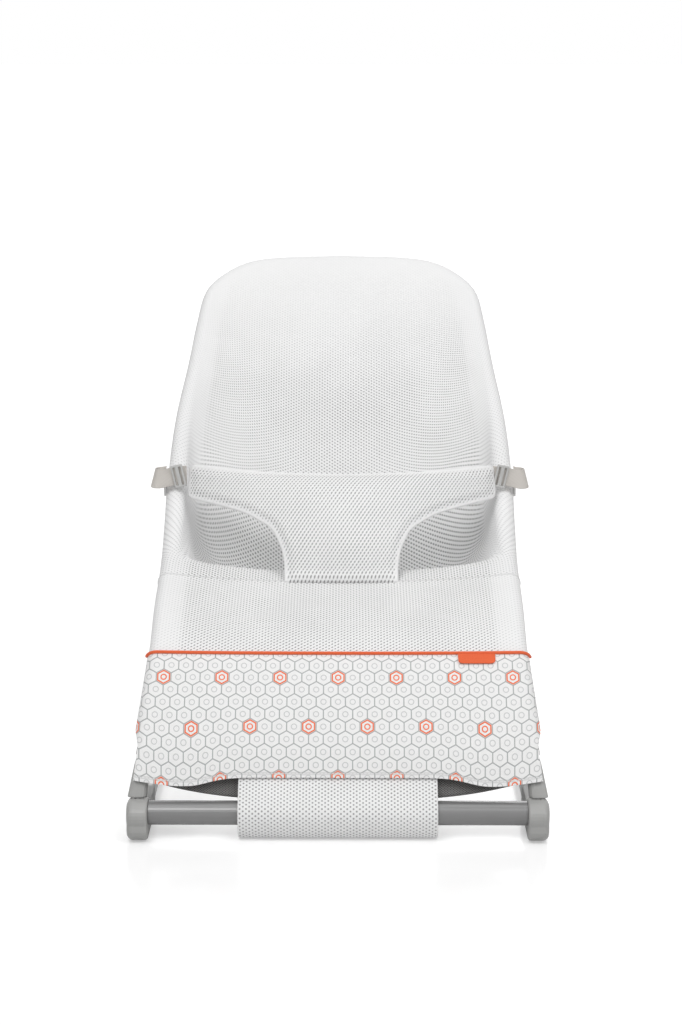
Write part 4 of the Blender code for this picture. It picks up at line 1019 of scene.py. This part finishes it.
def belt_pad(mat):
    """Padded T of the belt: crotch strap and two wings, with a flat bound edge and a stitched line."""
    outline = smooth_path([(t, w + BELT_WIDENS[0] * ease(t / BELT_WIDENS[1]), 0) for t, w in BELT_WIDTHS], 4)
    half_across = 34
    slots = [1 - (1 - j / half_across) ** 1.25 for j in range(half_across + 1)]
    slots = [-s for s in reversed(slots[1:])] + slots
    rows = [[belt_point(-p.y * s, p.x) for s in slots] for p in outline]
    verts, uvs, tight = [], [], []
    last, wide = len(rows) - 1, len(slots)
    edge_line = [Vector((0, 0))] + [Vector((p.y, p.x)) for p in outline]
    for way in (1, -1):
        for i, row in enumerate(rows):
            for j, place in enumerate(row):
                du = row[min(j + 1, wide - 1)] - row[max(j - 1, 0)]
                dv = rows[min(i + 1, last)][j] - rows[max(i - 1, 0)][j]
                normal = du.cross(dv).normalized()
                flat = Vector((abs(slots[j]) * outline[i].y, outline[i].x))
                inset = min(edge_distance(flat, a, b) for a, b in zip(edge_line, edge_line[1:]))
                sewn = 3 * (BELT_LENGTH - outline[i].x) + 0.001
                verts.append(place + normal * belt_half(min(inset, sewn)) * way)
                tight.append(1 - ease((inset - BELT_TIGHT[0]) / BELT_TIGHT[1]))
                uvs.append((flat.x * (1 if slots[j] >= 0 else -1), flat.y))
    back = len(rows) * wide
    faces = grid_faces(len(rows), wide) + grid_faces(len(rows), wide, back)
    rim = [(k, k + 1) for i in (0, last) for k in range(i * wide, i * wide + wide - 1)]
    rim += [(i * wide + j, (i + 1) * wide + j) for j in (0, wide - 1) for i in range(last)]
    faces += [(a, b, back + b, back + a) for a, b in rim]
    obj = add_piece("belt_cushion", verts, faces, uvs, None, mat, tight)
    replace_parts(obj, "belt_pad")
    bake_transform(obj)


def strap_loop(side, sign, mat):
    """Webbing from the belt's end, folded back on itself outside the seat tube, where it droops a little."""
    rows = []
    for p in smooth_path([(x, y, 0) for x, y in WEB_PATH], 8):
        free = ease((p.x - WEB_FREE_X) / WEB_FREE_RUN)
        lean = math.radians(WEB_LEAN) * free
        row = []
        for k in range(13):
            t = WEB_WIDTH * (k / 12 - 0.5)
            row.append(Vector((sign * (p.x - WEB_SPLAY * t * free), p.y + t * math.sin(lean),
                               WEB_Z - WEB_DROOP * free + t * math.cos(lean))))
        rows.append(row)
    obj = grid_piece("webbing_" + side, rows, "belt", mat)
    thicken(obj, WEB_THICKNESS)
    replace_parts(obj, "strap_loop_" + side)


def repaint(slots, nodes):
    """Gives the carried-over pieces of the frame the finished materials of their slots or names."""
    for name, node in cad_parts.items():
        for place in node.material_slots:
            slot = place.material.name.split(".")[0]
            if name in nodes or slot in slots:
                place.material = nodes.get(name) or slots[slot]


def main():
    bpy.context.scene.view_settings.view_transform = "Standard"
    set_camera()
    set_floor()
    set_world()
    set_lamps()
    # The second colour of each mesh cloth below is the painted shade of its openings. The sling's fades paint
    # more of it from the crotch seam into the seat's pocket, and less up the back.
    seat_cover(mesh_cloth("white_sling_mesh", WHITE, (0.17, 0.17, 0.17), hole=(0.00093, 0.00065),
                          fades=((0.05, 0.14, 1.6, 1.0), (0.20, 0.30, 1.0, 0.8), (0.36, 0.60, 1.0, 0.10))))
    leg_panel(mesh_cloth("white_leg_mesh", WHITE, (0.24, 0.24, 0.24), seam=0.0020))
    print_panel(print_cloth("honeycomb_print"))
    # The darker orange is painted shade between the threads
    orange = woven("orange_twill", (0.90, 0.155, 0.045), (0.72, 0.095, 0.025))
    piping(orange)
    lining_net(mesh_cloth("dark_net", (0.23, 0.225, 0.22), (0.05, 0.05, 0.05),
                          cell=(0.0030, 0.0022), hole=(0.0006, 0.0005), slant=False))
    wrap_flap(mesh_cloth("white_spacer_mesh", WHITE, (0.26, 0.26, 0.26),
                         hole=(0.00082, 0.00072), slant=False))
    cover_tag(orange)
    belt_pad(mesh_cloth("white_belt_mesh", (0.87, 0.87, 0.87), (0.24, 0.24, 0.24),
                        cell=(0.0041, 0.0063), hole=(0.00115, 0.00060), closed=0.05))
    # The darker grey is painted shade between the threads
    webbing = woven("grey_webbing", (0.66, 0.63, 0.59), (0.46, 0.43, 0.40), (0.0016, 0.0030))
    for side, sign in SIDES:
        strap_loop(side, sign, webbing)
    anchor = plastic("anchor_plastic", (0.84, 0.84, 0.83))
    # The rail has the same paint as the other tubes; this lighter copy of it is painted light, for the
    # floor's bounce that reaches it under the seat
    rail = paint("rail_coat_painted_lighter", (0.42, 0.42, 0.415), 0.30)
    repaint({
        "foot_plastic": plastic("grey_plastic", (0.35, 0.35, 0.342)),
        "buckle_plastic": plastic("buckle_grey", (0.50, 0.50, 0.49)),
        "tube_paint": paint("tube_powder_coat", (0.215, 0.215, 0.215), 0.27),
        "steel": steel("zinc_steel"),
        "rubber": rubber("black_rubber"),
    }, {"strap_anchor_left": anchor, "strap_anchor_right": anchor, "base_tube": rail})


main()
